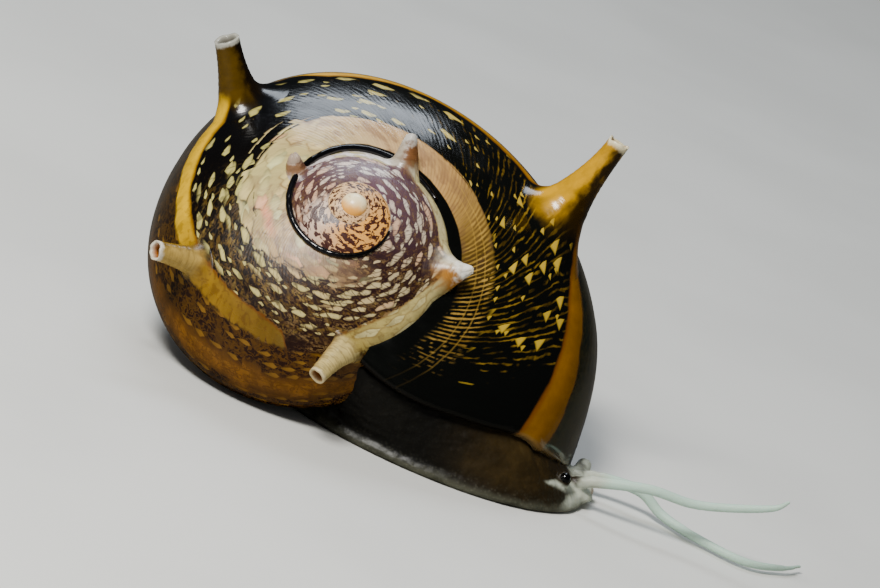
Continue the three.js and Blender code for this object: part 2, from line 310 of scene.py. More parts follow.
def buildShell():
    # rings inside the mouth come first, then the lip, then back along the whorls to the apex
    count = round(shell["turns"] * shell["ringsPerTurn"])
    rings = shell["mouthRings"] + [(shell["turns"] * i / count, 0) for i in range(count + 1)]
    sections = [sectionAt(max(turn, 0)) for turn, inset in rings]

    def place(i, j):
        spot = ringPoint(*rings[i], sections[i][j])
        spot.z = max(spot.z, shell["floorGap"])
        return spot

    def coordinates(i, j):
        turn, inset = rings[i]
        share = sections[i][j][2]
        if inset > 0:
            turn = -inset
        return {"Growth": (turn, share), "Marks": (wholeTurn * shell["meanReach"] * turn, arcShare(share))}

    bm = bmesh.new()
    spot = rollSheet(bm, len(rings), len(sections[0]), place, coordinates)
    keelVerts = [vert for vert, (i, j) in spot.items()
                 if abs(sections[i][j][2] - 1) < shell["keelWidth"] and rings[i][0] > 0.01]
    for _ in range(shell["keelRounding"]):
        bmesh.ops.smooth_vert(bm, verts=keelVerts, factor=0.5, use_axis_x=True, use_axis_y=True,
                              use_axis_z=True)
    bmesh.ops.remove_doubles(bm, verts=bm.verts, dist=mergeGap)
    bmesh.ops.holes_fill(bm, edges=[e for e in bm.edges if e.is_boundary])
    bmesh.ops.recalc_face_normals(bm, faces=bm.faces)
    return bm


shellMesh = buildShell()
shellPiece = finishMesh(shellMesh.copy(), "shell")
print("shell built:", len(shellPiece.data.polygons), "faces")


# Suture cord: a round black seam of glaze along the older whorl

cord = {
    "from": 0.3,
    "to": 1.16,
    "rows": 260,
    "columns": 14,
    "radius": ((0.3, 0.1), (0.36, 0.15), (0.7, 0.14), (0.95, 0.12), (1.16, 0.05)),
    "uneven": (0.12, 60),    # share of the radius, and waves in a turn
    "share": 0.025,
    "lift": 0.01,
}


def buildCord():
    def centre(turn):
        point = rampPoint(turn, cord["share"])
        return shellPoint(turn + rampLead(cord["share"]), point.x, point.y + cord["lift"])

    def place(i, j):
        turn = lerp(cord["from"], cord["to"], min(max((i - 1) / (cord["rows"] - 3), 0), 1))
        ahead = (centre(turn + 0.002) - centre(turn - 0.002)).normalized()
        side = axis.cross(ahead).normalized()
        top = ahead.cross(side)
        angle = wholeTurn * j / (cord["columns"] - 1)
        uneven = 1 + cord["uneven"][0] * noise.noise(Vector((turn * cord["uneven"][1], 0, 0)))
        radius = curveAt(cord["radius"], turn) * uneven if 0 < i < cord["rows"] - 1 else 0
        return centre(turn) + side * (radius * math.cos(angle)) + top * (radius * math.sin(angle))

    bm = bmesh.new()
    rollSheet(bm, cord["rows"], cord["columns"], place)
    weld(bm)
    return finishMesh(bm, "suture_cord")


cordPiece = buildCord()


# Knob: the smooth first whorl on top of the spire

knob = {"radii": (0.54, 0.54, 0.46), "sunk": 0.33}


def buildKnob():
    bm = bmesh.new()
    turned = axis.to_track_quat("Z", "Y").to_matrix().to_4x4()
    addBall(bm, knob["radii"], apexPoint - axis * knob["sunk"], 48, turned)
    return finishMesh(bm, "apex_knob")


knobPiece = buildKnob()


# Spines: horns on the keel that grow out of the shell in a smooth fillet, take its markings at
# the root, and end in a worn and mostly hollow tip

spineSet = {
    "columns": 48,
    "filletRows": 20,
    "bodyRows": 22,
    "filletShare": 0.6,      # of the length, at most
    "filletDepth": (-0.03, 0.015),
    "ringHeight": 0.01,
    "ringsPerMm": 24,
    "rimGrain": 1.7,
    "rimFrom": 0.75,
    "flareHeight": 0.4,
    "reachAlong": (0.13, 0.05),      # turns of shell that a fillet may lie on, and more for each turn
    # (share of the tip's radius, depth in mm) over the rim and down into the hollow
    "openTip": [(0.94, -0.02), (0.84, 0), (0.74, -0.06), (0.66, -0.2), (0.6, -0.4), (0.5, -0.6),
                (0.3, -0.75), (0, -0.8)],
    "closedTip": [(0.93, 0.04), (0.82, 0.09), (0.68, 0.13), (0.5, 0.16), (0.34, 0.18), (0.2, 0.19),
                  (0.1, 0.19), (0, 0.19)],
}
# base and tip are radii, and flares widen the root towards the lip and away from it
spineColumns = ("turn", "length", "rise", "lean", "base", "tip", "chip", "bow", "taper", "spread", "flares",
                "open")
spineKinds = [dict(zip(spineColumns, row)) for row in [
    (0.155, 4.1, 50, 1.1, 1.15, 0.45, 0.13, 0.2, 2, 1.8, (1.5, 0), True),
    (0.447, 2.7, 45, -0.26, 0.85, 0.52, 0.07, 0, 1.8, 1.8, (1.4, 0.3), True),
    (0.647, 2.1, 33, -0.16, 0.58, 0.4, 0.08, 0, 1.5, 1.6, (0.2, 0.6), True),
    (0.857, 1.65, 8, -1.25, 0.52, 0.36, 0.04, 0, 1, 1.5, (0, 2.4), True),
    (1.042, 1.2, 45, 0.05, 0.8, 0.2, 0.12, 0, 1, 1.7, (0.3, 0.3), False),
    (1.243, 1.15, 42, 0.56, 0.62, 0.25, 0.1, 0, 0.9, 1.6, (0.2, 0.2), False),
    (1.487, 0.62, 60, -0.1, 0.5, 0.26, 0.08, 0, 1, 1.6, (0.1, 0.1), False),
]]

outsideEnd = 1.9     # the share down the side where the outside is taken to end
shellMesh.faces.ensure_lookup_table()
growthLayer, marksLayer = uvLayer(shellMesh, "Growth"), uvLayer(shellMesh, "Marks")
faceGrowth = [sum((loop[growthLayer].uv for loop in face.loops), Vector((0, 0))) / len(face.loops)
              for face in shellMesh.faces]


def shellPatch(turn, room):
    # (search tree, its faces) for the outside of the shell near this turn
    faces = [face for face in shellMesh.faces
             if abs(faceGrowth[face.index].x - turn) < room and faceGrowth[face.index].y < outsideEnd]
    corners = [[vert.index for vert in face.verts] for face in faces]
    return BVHTree.FromPolygons([vert.co for vert in shellMesh.verts], corners), faces


def takeMarks(bm, patch, patchFaces):
    # gives each vertex the shell's own marking coordinates at the surface point nearest to it
    growth, marks = uvLayer(bm, "Growth"), uvLayer(bm, "Marks")
    for vert in bm.verts:
        near, normal, index, distance = patch.find_nearest(vert.co)
        loops = patchFaces[index].loops
        weights = interpolate.poly_3d_calc([loop.vert.co for loop in loops], near)
        for target, source in ((growth, growthLayer), (marks, marksLayer)):
            uv = sum((loop[source].uv * w for loop, w in zip(loops, weights)), Vector((0, 0)))
            for loop in vert.link_loops:
                loop[target].uv = uv


def buildSpine(kind, name, seed):
    along, more = spineSet["reachAlong"]
    patch, patchFaces = shellPatch(kind["turn"], along + more * kind["turn"])
    angle = turnAngle(kind["turn"])
    outward = across * math.cos(angle) + upward * math.sin(angle)
    older = upward * math.cos(angle) - across * math.sin(angle)
    rise = math.radians(kind["rise"])
    root = shellPoint(kind["turn"], *shell["keel"])
    reach = (outward * (kind["length"] * math.cos(rise)) + axis * (kind["length"] * math.sin(rise))
             + older * kind["lean"])
    ahead = reach.normalized()
    sideways = (older - ahead * older.dot(ahead)).normalized()
    above = ahead.cross(sideways)
    filletRows, columns = spineSet["filletRows"], spineSet["columns"]
    outerRows = filletRows + spineSet["bodyRows"]
    tip = spineSet["openTip" if kind["open"] else "closedTip"]
    rows = outerRows + len(tip)
    filletShare = min(kind["base"] / reach.length, spineSet["filletShare"])
    random.seed(seed)
    chipTurn = random.uniform(0, wholeTurn)

    def shareAt(i):
        # share of the spine's length, from the middle of its root to the rim of its tip
        if i < filletRows:
            return filletShare * i / filletRows
        return lerp(filletShare, 1, min((i - filletRows) / (spineSet["bodyRows"] - 1), 1))

    def place(i, j):
        turned = wholeTurn * j / (columns - 1)
        direction = sideways * math.cos(turned) + above * math.sin(turned)
        share = shareAt(i)
        radius = lerp(kind["tip"], kind["base"], (1 - share) ** kind["taper"])
        ring = math.sin(share * kind["length"] * spineSet["ringsPerMm"] + seed)
        radius *= 1 + spineSet["ringHeight"] * ring
        lipward, olderward = kind["flares"]
        flare = (lipward if math.cos(turned) < 0 else olderward) * math.cos(turned) ** 2
        radius *= 1 + spineSet["flareHeight"] * flare * (1 - share) ** 4
        grain = spineSet["rimGrain"]
        rim = kind["chip"] * (noise.noise(Vector((grain * math.cos(turned), grain * math.sin(turned), seed)))
                              + 0.8 * math.cos(turned - chipTurn))
        depth = 0
        if i >= outerRows:
            share = 1
            scale, depth = tip[i - outerRows]
            radius = kind["tip"] * scale
            rim *= max(0, 1 - depth / tip[-1][1]) if kind["open"] else scale
        bend = above * (kind["bow"] * 4 * share * (share - 1))
        centre = root + reach * share + bend + ahead * (depth + rim * smooth(share, spineSet["rimFrom"], 1))
        free = centre + direction * radius
        if i >= filletRows:
            return free
        # the fillet leaves the shell along its surface
        grown = i / filletRows
        far = kind["base"] * (kind["spread"] + flare)
        near, normal, index, distance = patch.find_nearest(root + direction * lerp(far, kind["base"], grown))
        laid = near + normal * lerp(*spineSet["filletDepth"], min(grown * 3, 1))
        return laid.lerp(free, grown ** 3 * (grown * (6 * grown - 15) + 10))

    def coordinates(i, j):
        beyond = max(0, i - outerRows + 1) / len(tip)
        return {"Growth": (0, 0), "Marks": (0, 0), "Spine": (j / (columns - 1), shareAt(i) + beyond),
                "Root": (min(i / filletRows, 1), 0)}

    bm = bmesh.new()
    rollSheet(bm, rows, columns, place, coordinates)
    takeMarks(bm, patch, patchFaces)
    weld(bm)
    return finishMesh(bm, name)


spinePieces = [buildSpine(kind, f"horn_{i + 1}", 11 + i) for i, kind in enumerate(spineKinds)]
print("spines built")


# Deck: the smooth floor of the shell beside its mouth, marked like the whorl where it meets it

deck = {"middle": Vector((-2.75, 1.2, 4.85)), "radii": (6.0, 5.0, 2.8), "turnRange": 0.75}


def buildDeck():
    bm = bmesh.new()
    addBall(bm, deck["radii"], deck["middle"], 96)
    takeMarks(bm, *shellPatch(0, deck["turnRange"]))
    return finishMesh(bm, "deck")


deckPiece = buildDeck()


# Body: foot, mantle, head, eye stalks and tentacles grown together into one skin

body = {
    "foot": {"middle": (3.0, -0.7), "length": 7.3, "width": 5.0, "egg": 0.1,
             "levels": [(0, 0.93), (0, 0.97), (0.1, 1), (0.25, 1), (0.45, 0.97), (0.75, 0.93),
                        (0.95, 0.88)]},
    "mantle": {"middle": (2.1, -1.1), "length": 5.5, "width": 4.0, "egg": 0,
               "levels": [(0.8, 0.9), (1.6, 1.0), (2.6, 0.98), (3.6, 0.96), (3.9, 0.8)]},
    # (turn, depth in mm) of the collar's rings inside the mouth, and then its steps down to the foot
    "collarRings": [(0.06, 1.5), (0.04, 1.2), (0.012, 0.75), (0.0, 0.42)],
    "collarSteps": [0.16, 0.36, 0.58, 0.8, 1.0],
    "collarFoot": (0.55, 0.955),       # height and scale of the foot's outline that it comes down to
    "collarFill": 0.16,
    "collarMiddle": Vector((3.5, -0.6, 0)),
    # egg-shaped forms as (radii, middle): nape, muzzle, the two lip lobes and the cheeks
    "forms": [((1.7, 2.0, 0.5), (8.5, -0.5, 0.5)), ((0.95, 1.35, 0.4), (9.55, -0.5, 0.55)),
              ((0.52, 0.6, 0.34), (10.05, -0.93, 0.46)), ((0.52, 0.6, 0.34), (10.05, -0.07, 0.46)),
              ((0.6, 0.6, 0.42), (9.1, -1.6, 0.62)), ((0.6, 0.6, 0.38), (9.35, 0.75, 0.55))],
    "voxel": 0.087,
    "softenSteps": 6,
    "head": (7.8, 11),       # the skin is finer between these
    "tentacleRadius": 0.27,
    "tentacleTaper": 0.4,    # over the whole length, and once more over the tip
    "tentacleTip": 0.7,
    "eyeRadius": 0.24,
    "stalkRadii": (0.42, 0.3),
    "stalkReach": 1.06,
    "wrinkle": 0.028,
    "wrinkleScales": (2.2, 5, 6),    # of the folds, level and upright, and of the fine ones
    "wrinkleAbove": 0.12,
    "wrinkleBehind": 10.6,
}
# grooves as (from, to, width, depth): the mouth's slit, its upper fold and the line over the sole
grooves = [((10.62, -0.5, 0.16), (10.5, -0.5, 0.62), 0.07, 0.16),
           ((10.4, -1.25, 0.3), (10.62, -0.5, 0.24), 0.06, 0.1),
           ((10.62, -0.5, 0.24), (10.4, 0.25, 0.3), 0.06, 0.1)]
tentacles = {
    "right": [(9.3, -1.3, 0.8), (10.5, -1.4, 1.35), (12.6, -1.3, 1.9), (14.7, -1.0, 2.0), (17.4, -0.8, 2.95),
              (18.1, -0.8, 3.6)],
    "left": [(9.3, 0.5, 0.6), (10.8, 1.0, 0.9), (12.4, 1.1, 0.95), (13.6, 0.9, 0.42), (15.2, 0.2, 0.3),
             (17.4, -0.3, 0.3), (19.0, 0.9, 0.3), (19.8, 2.2, 0.3)],
}
eyes = {
    "right": {"root": (8.9, -1.6, 0.45), "middle": (9.15, -2.4, 1.28)},
    "left": {"root": (9.7, 0.7, 0.5), "middle": (9.85, 2.15, 0.8)},
}


def ovalPoint(form, scale, height, angle):
    x = form["length"] * scale * math.cos(angle)
    y = form["width"] * scale * math.sin(angle) * (1 + form["egg"] * math.cos(angle))
    return Vector((form["middle"][0] + x, form["middle"][1] + y, height))


def addRings(bm, rings):
    # closed loops of points skinned one after another, with both ends drawn together
    middles = [sum(rings[i], Vector()) / len(rings[i]) for i in (0, -1)]

    def place(i, j):
        if i in (0, len(rings) + 1):
            return middles[0 if i == 0 else 1]
        return rings[i - 1][j % len(rings[0])]

    rollSheet(bm, len(rings) + 2, len(rings[0]) + 1, place)


def addLobe(bm, form, columns=64):
    addRings(bm, [[ovalPoint(form, scale, height, wholeTurn * j / columns) for j in range(columns)]
                  for height, scale in form["levels"]])


def addCollar(bm):
    # the flesh that fills the shell's mouth and comes down from just inside its edge to the foot
    section = [row for row in sectionAt(0) if row[2] <= 2]
    rings = [[ringPoint(turn, inset, row) for row in section] for turn, inset in body["collarRings"]]
    for ring in rings:
        ring += [ring[-1].lerp(ring[0], k / 10) for k in range(1, 10)]
    height, scale = body["collarFoot"]
    foot = body["foot"]
    outline = [ovalPoint(foot, scale, height, wholeTurn * k / 720) for k in range(720)]
    middle = body["collarMiddle"]
    bottom = []
    for point in rings[-1]:
        toward = (point - middle).to_2d().normalized()
        bottom.append(max(outline, key=lambda spot: (spot - middle).to_2d().normalized().dot(toward)))
    top = rings[-1]
    for step in body["collarSteps"]:
        bulge = body["collarFill"] * 4 * step * (1 - step)
        ring = []
        for high, low in zip(top, bottom):
            outward = (low - middle).to_2d().normalized().to_3d()
            ring.append(high.lerp(low, step) + outward * bulge)
        rings.append(ring)
    addRings(bm, rings)


def addTube(bm, points, radiusAt, rows, columns=20):
    path = [Vector(point) for point in points]
    rings = []
    for i in range(rows):
        share = i / (rows - 1)
        centre = splineAt(path, share)
        ahead = (splineAt(path, min(share + 0.01, 1)) - splineAt(path, max(share - 0.01, 0))).normalized()
        side = Vector((0, 0, 1)).cross(ahead).normalized()
        top = ahead.cross(side)
        rings.append([centre + (side * math.cos(angle) + top * math.sin(angle)) * radiusAt(share)
                      for angle in [wholeTurn * j / columns for j in range(columns)]])
    addRings(bm, rings)


def carveSkin(bm):
    # grooves and fine wrinkles, pressed in along the skin's own normals
    bm.normal_update()
    level, upright, fineScale = body["wrinkleScales"]
    moves = {}
    for vert in bm.verts:
        spot = vert.co
        press = 0
        for start, end, width, depth in grooves:
            start, end = Vector(start), Vector(end)
            along = min(max((spot - start).dot(end - start) / (end - start).length_squared, 0), 1)
            away = (spot - start.lerp(end, along)).length
            press -= depth * math.exp(-(away / width) ** 2)
        if spot.z > body["wrinkleAbove"] and spot.x < body["wrinkleBehind"]:
            fold = noise.noise(Vector((spot.x * level, spot.y * level, spot.z * upright)))
            press += body["wrinkle"] * (fold + 0.6 * noise.noise(spot * fineScale))
        moves[vert] = vert.normal * press
    for vert, move in moves.items():
        vert.co += move


def feelerRadius(share):
    taper = body["tentacleTaper"]
    return body["tentacleRadius"] * (1 - taper * share) * (1 - taper * smooth(share, body["tentacleTip"], 1))


def buildSkin():
    bm = bmesh.new()
    for name in ("foot", "mantle"):
        addLobe(bm, body[name])
    addCollar(bm)
    for radii, middle in body["forms"]:
        addBall(bm, radii, middle, 40)
    for eye in eyes.values():
        root, middle = Vector(eye["root"]), Vector(eye["middle"])
        stalk = [root, root.lerp(middle, body["stalkReach"])]
        addTube(bm, stalk, lambda share: lerp(*body["stalkRadii"], share), 12)
    for path in tentacles.values():
        addTube(bm, path, feelerRadius, 90)
    weld(bm)
    skin = finishMesh(bm, "body_skin")
    remesh = skin.modifiers.new("skin", "REMESH")
    remesh.mode = "VOXEL"
    remesh.voxel_size = body["voxel"] * mm
    soften = skin.modifiers.new("soften", "SMOOTH")
    soften.factor = 0.5
    soften.iterations = body["softenSteps"]
    applyModifiers(skin)
    bm = bmesh.new()
    bm.from_mesh(skin.data)
    bmesh.ops.scale(bm, vec=(1 / mm, 1 / mm, 1 / mm), verts=bm.verts)
    back, front = body["head"]
    ahead = [e for e in bm.edges if all(back < v.co.x < front for v in e.verts)]
    bmesh.ops.subdivide_edges(bm, edges=ahead, cuts=1, use_grid_fill=True, smooth=0.5)
    carveSkin(bm)
    bmesh.ops.scale(bm, vec=(mm, mm, mm), verts=bm.verts)
    bm.to_mesh(skin.data)
    bm.free()
    skin.data.shade_smooth()
    return skin


skinPiece = buildSkin()
print("skin built:", len(skinPiece.data.polygons), "faces")


def buildEye(side):
    bm = bmesh.new()
    addBall(bm, [body["eyeRadius"]] * 3, eyes[side]["middle"], 32)
    return finishMesh(bm, f"eyeball_{side}")


eyePieces = [buildEye(side) for side in ("right", "left")]


# Operculum: a half round lid under the shell

lid = {"middle": Vector((-2.6, 1.3, 1.45)), "length": 3.6, "width": 3.6, "thickness": 0.5, "rounding": 0.08}


def buildLid():
    bm = bmesh.new()
    bmesh.ops.create_circle(bm, cap_ends=True, segments=96, radius=1)
    bmesh.ops.bisect_plane(bm, geom=list(bm.verts) + list(bm.edges) + list(bm.faces), plane_co=(0, 0, 0),
                           plane_no=(1, 0, 0), clear_outer=True)
    bmesh.ops.scale(bm, vec=(lid["length"], lid["width"] / 2, 1), verts=bm.verts)
    bmesh.ops.solidify(bm, geom=bm.faces, thickness=lid["thickness"])
    bmesh.ops.translate(bm, vec=lid["middle"] + Vector((0, 0, lid["thickness"] / 2)), verts=bm.verts)
    bmesh.ops.bevel(bm, geom=bm.edges, offset=lid["rounding"], offset_type="OFFSET", affect="EDGES",
                    segments=3, profile=0.5, material=-1)
    bmesh.ops.recalc_face_normals(bm, faces=bm.faces)
    return finishMesh(bm, "operculum_lid")


lidPiece = buildLid()


# Nodes: every helper wires the tree that newGroup or newMaterial last opened

tone = {"depth": 1.12, "saturation": 1.08}     # of all colours, against the photograph's
wiring = {"tree": None}


class Value:
    # a node's output: each + - * or / with it makes a Math node
    def __init__(self, socket):
        self.socket = socket

    def __add__(self, other):
        return calc("ADD", self, other)

    def __radd__(self, other):
        return calc("ADD", other, self)

    def __sub__(self, other):
        return calc("SUBTRACT", self, other)

    def __rsub__(self, other):
        return calc("SUBTRACT", other, self)

    def __mul__(self, other):
        return calc("MULTIPLY", self, other)

    def __truediv__(self, other):
        return calc("DIVIDE", self, other)

    def __abs__(self):
        return calc("ABSOLUTE", self)


def linear(colour):
    # a colour as the photograph shows it, deepened to allow for the light on it
    straight = [c / 255 / 12.92 if c <= 10 else ((c / 255 + 0.055) / 1.055) ** 2.4 for c in colour]
    deep = [c ** tone["depth"] for c in straight]
    grey = sum(deep) / 3
    return tuple(max(grey + (c - grey) * tone["saturation"], 0.001) for c in deep) + (1,)


def feed(sockets, values):
    # links each value that is a node's output, and sets any other
    for key, value in values.items():
        if isinstance(value, Value):
            wiring["tree"].links.new(value.socket, sockets[key])
        else:
            sockets[key].default_value = value


def addNode(kind, inputs, **settings):
    node = wiring["tree"].nodes.new("ShaderNode" + kind)
    for name, value in settings.items():
        setattr(node, name, value)
    feed(node.inputs, inputs)
    return node


def outputsOf(node):
    return {socket.name: Value(socket) for socket in node.outputs}


def valueOf(kind, inputs, output=0, **settings):
    return Value(addNode(kind, inputs, **settings).outputs[output])


def calc(operation, *values):
    return valueOf("Math", dict(enumerate(values)), operation=operation)


def product(*values):
    result = values[0]
    for value in values[1:]:
        result = result * value
    return result


def vectorCalc(operation, *values):
    return valueOf("VectorMath", dict(enumerate(values)), operation=operation)


def combine(x, y, z=0):
    return valueOf("CombineXYZ", {0: x, 1: y, 2: z})


def separate(vector):
    return [Value(socket) for socket in addNode("SeparateXYZ", {0: vector}).outputs]


def between(value, low, high, toLow=0, toHigh=1, kind="SMOOTHSTEP"):
    return valueOf("MapRange", {0: value, 1: low, 2: high, 3: toLow, 4: toHigh}, interpolation_type=kind)


def inRange(value, low, high, soft):
    return between(value, low - soft, low + soft) * between(value, high - soft, high + soft, 1, 0)


def mixed(mask, first, second, blend="MIX"):
    # three numbers are a colour of the photograph's
    first, second = [linear(c) if isinstance(c, tuple) and len(c) == 3 else c for c in (first, second)]
    return valueOf("Mix", {0: mask, 6: first, 7: second}, 2, data_type="RGBA", blend_type=blend)


def shaded(colour, shade):
    return mixed(1, colour, combine(shade, shade, shade), "MULTIPLY")


def noiseAt(vector, scale, detail=2, roughness=0.5, distortion=0, output=0):
    return valueOf("TexNoise", {"Vector": vector, "Scale": scale, "Detail": detail, "Roughness": roughness,
                                "Distortion": distortion}, output)


def squigglesAt(place, scale, width):
    # thin winding lines where a noise crosses its middle
    wander = noiseAt(vectorCalc("MULTIPLY", place, scale), 1, 2, 0.55, 0.9)
    return between(abs(wander - 0.5), width, width * 0.3)


def rampOver(value, stops, low=0, high=1):
    # the photograph's colours at places between low and high
    node = addNode("ValToRGB", {0: between(value, low, high, kind="LINEAR")})
    elements = node.color_ramp.elements
    for i, (place, colour) in enumerate(stops):
        position = (place - low) / (high - low)
        element = elements[i] if i < 2 else elements.new(position)
        element.position = position
        element.color = linear(colour)
    return Value(node.outputs[0])


def curveOver(value, points, end=3.2):
    # a height that follows the value along straight lines through (place, height) points, and
    # is level before the first and after the last
    if points[0][0] > 0:
        points = [(0, points[0][1])] + points
    if points[-1][0] < end:
        points = points + [(end, points[-1][1])]
    node = addNode("FloatCurve", {1: between(value, 0, end, kind="LINEAR")})
    curve = node.mapping.curves[0]
    for i, (place, height) in enumerate(points):
        if i < 2:
            curve.points[i].location = (place / end, height)
        else:
            curve.points.new(place / end, height)
    for point in curve.points:
        point.handle_type = "VECTOR"
    node.mapping.update()
    return Value(node.outputs[0])


def newGroup(name, inputs, outputs):
    # (group, its inputs as values, sockets of its outputs); each is a Float unless its kind is given
    group = bpy.data.node_groups.new(name, "ShaderNodeTree")
    for way, names in (("INPUT", inputs), ("OUTPUT", outputs)):
        for entry in names:
            label, _, kind = entry.partition(":")
            group.interface.new_socket(label, in_out=way, socket_type="NodeSocket" + (kind or "Float"))
    wiring["tree"] = group
    given = outputsOf(group.nodes.new("NodeGroupInput"))
    return group, given, group.nodes.new("NodeGroupOutput").inputs


def useGroup(group, inputs):
    node = wiring["tree"].nodes.new("ShaderNodeGroup")
    node.node_tree = group
    feed(node.inputs, inputs)
    return outputsOf(node)


def newMaterial(name, roughness=0.25, specular=0.5):
    # (material, its shader's inputs)
    material = bpy.data.materials.new(name)
    material.use_nodes = True
    wiring["tree"] = material.node_tree
    sockets = material.node_tree.nodes["Principled BSDF"].inputs
    feed(sockets, {"Roughness": roughness, "Specular IOR Level": specular})
    return material, sockets


# Marks: pale tents or tongues in staggered cells. Each comes to a point towards the lip and is
# cut off blunt on its older side, along the growth lines.

def makeTiles():
    group, given, out = newGroup(
        "Tent marks", ["Coordinates:Vector", "Cell Along", "Cell Across", "Length", "Width", "Point",
                       "Blunt", "Coverage", "Seed"], ["Mask", "Along", "Random", "Edge", "Present"])
    spot = separate(given["Coordinates"])
    seed = given["Seed"]
    y = spot[1] / given["Cell Across"] + seed * 0.37
    row = calc("FLOOR", y)
    rowChance = valueOf("TexWhiteNoise", {"Vector": combine(row, seed)}, "Value")
    x = spot[0] / given["Cell Along"] + row * 0.5 + rowChance
    column = calc("FLOOR", x)
    cell = outputsOf(addNode("TexWhiteNoise", {"Vector": combine(column, row, seed)}))
    chance = separate(cell["Color"])
    size = between(chance[0], 0, 1, 0.8, 1, "LINEAR")
    length = given["Length"] * size
    width = given["Width"] * size

    def centred(value, room, luck):
        shift = (luck - 0.5) * (1 - room)
        return calc("FRACT", value) - 0.5 - shift

    along = centred(x, length, chance[1]) / length + 0.5
    across = abs(centred(y, width, chance[2])) / (width * 0.5)
    profile = calc("POWER", calc("MAXIMUM", along, 0), given["Point"])
    edge = profile * between(along, given["Blunt"], 1, 1, 0) - across
    present = calc("LESS_THAN", cell["Value"], given["Coverage"])
    feed(out, {"Mask": between(edge, 0, 0.22) * present, "Along": along, "Random": chance[0], "Edge": edge,
               "Present": present})
    return group


tilesGroup = makeTiles()


def tilesAt(coordinates, cell, size, point, blunt, coverage, seed):
    return useGroup(tilesGroup, {
        "Coordinates": coordinates, "Cell Along": cell[0], "Cell Across": cell[1], "Length": size[0],
        "Width": size[1], "Point": point, "Blunt": blunt, "Coverage": coverage, "Seed": seed})


# Growth lines: thin broken lines along the growth of the lip, each with a strength of its own

def makeGrowthLines():
    group, given, out = newGroup(
        "Growth lines", ["Turn", "Share", "Count", "Waviness", "Thickness", "Dash Scale", "Coverage"],
        ["Mask", "Wave"])
    place = combine(given["Turn"] * 14, given["Share"])
    bend = noiseAt(place, 7, 1) - 0.5
    fine = noiseAt(place, 30, 1) - 0.5
    bend = bend + fine * 0.4
    phase = given["Turn"] * given["Count"] + bend * given["Waviness"]
    wave = calc("COSINE", phase * wholeTurn)
    number = calc("ROUND", phase)
    own = valueOf("TexWhiteNoise", {"W": number}, "Value", noise_dimensions="1D")
    dashes = combine(number * 3.7, given["Share"] * given["Dash Scale"])
    broken = noiseAt(dashes, 1) + own * 0.16
    cut = 0.86 - given["Coverage"] * 0.5
    kept = between(broken, cut, cut + 0.14)
    line = between(wave, 1 - given["Thickness"], 1)
    feed(out, {"Mask": line * kept, "Wave": wave})
    return group


linesGroup = makeGrowthLines()

# The shell's colours by turn, as (turn, colour); some stops are painted light, as marked below

shellColours = {
    # ground: the light stop at turn 1.35 is a painted sheen on the top of the spire
    "ground": [(0, (13, 14, 12)), (0.34, (14, 15, 12)), (0.45, (14, 15, 17)), (0.58, (16, 13, 12)),
               (0.7, (24, 17, 13)), (0.83, (44, 24, 18)), (1.05, (50, 31, 32)), (1.35, (108, 84, 94)),
               (1.65, (74, 46, 42)), (2.6, (72, 44, 32))],
    # pale: the stop at turn 1.35 is lightened as a painted highlight on the top of the spire
    "pale": [(0, (196, 166, 66)), (0.22, (204, 176, 84)), (0.32, (206, 192, 126)), (0.45, (188, 178, 112)),
             (0.6, (204, 194, 128)), (0.85, (202, 186, 132)), (1.05, (198, 180, 148)),
             (1.35, (232, 222, 216)), (1.65, (218, 192, 168)), (2.6, (240, 222, 186))],
    "band": [(0, (130, 104, 44)), (0.2, (150, 122, 66)), (0.3, (186, 150, 100)), (0.42, (206, 178, 140)),
             (0.6, (206, 192, 136)), (0.7, (198, 176, 126)), (0.78, (178, 148, 106)),
             (0.88, (172, 142, 104)), (1, (176, 144, 112)), (1.3, (196, 178, 160))],
    # keel: darkest at the lip and brightest near turn 0.37, partly painted light from the upper left; the
    # pale stops at turns 1.3 to 1.6 are a painted sheen
    "keel": [(0, (122, 86, 8)), (0.12, (136, 96, 10)), (0.2, (188, 138, 30)), (0.3, (206, 160, 62)),
             (0.37, (226, 184, 96)), (0.45, (212, 174, 46)), (0.6, (208, 170, 24)), (0.65, (148, 116, 42)),
             (0.78, (106, 82, 32)), (0.88, (166, 148, 90)), (1, (190, 176, 124)), (1.22, (192, 184, 150)),
             (1.3, (226, 222, 216)), (1.45, (218, 210, 208)), (1.6, (206, 192, 176))],
    # side and sideMarks: darkened partly as painted shade on the lower side; the greenish stop at the lip is
    # a painted reflection
    "side": [(0, (26, 34, 18)), (0.2, (18, 20, 10)), (0.45, (22, 20, 12)), (0.6, (34, 20, 12)),
             (0.8, (42, 22, 14)), (1.2, (56, 36, 30))],
    "sideMarks": [(0, (110, 90, 30)), (0.5, (84, 62, 20)), (0.8, (98, 68, 24)), (1.2, (170, 136, 90))],
    "spire": [(1.6, (206, 186, 174)), (1.75, (206, 180, 158)), (1.88, (220, 164, 98)),
              (2.1, (228, 172, 100)), (2.25, (214, 170, 122)), (2.5, (218, 182, 140))],
}

# Marks by layer: cell size along and across in keel radii, length and width in the cell, how
# soon they widen, how late they end, the shares of the ramp they lie between, and the share of
# cells that have one by turn. The first two follow a calmer warp.

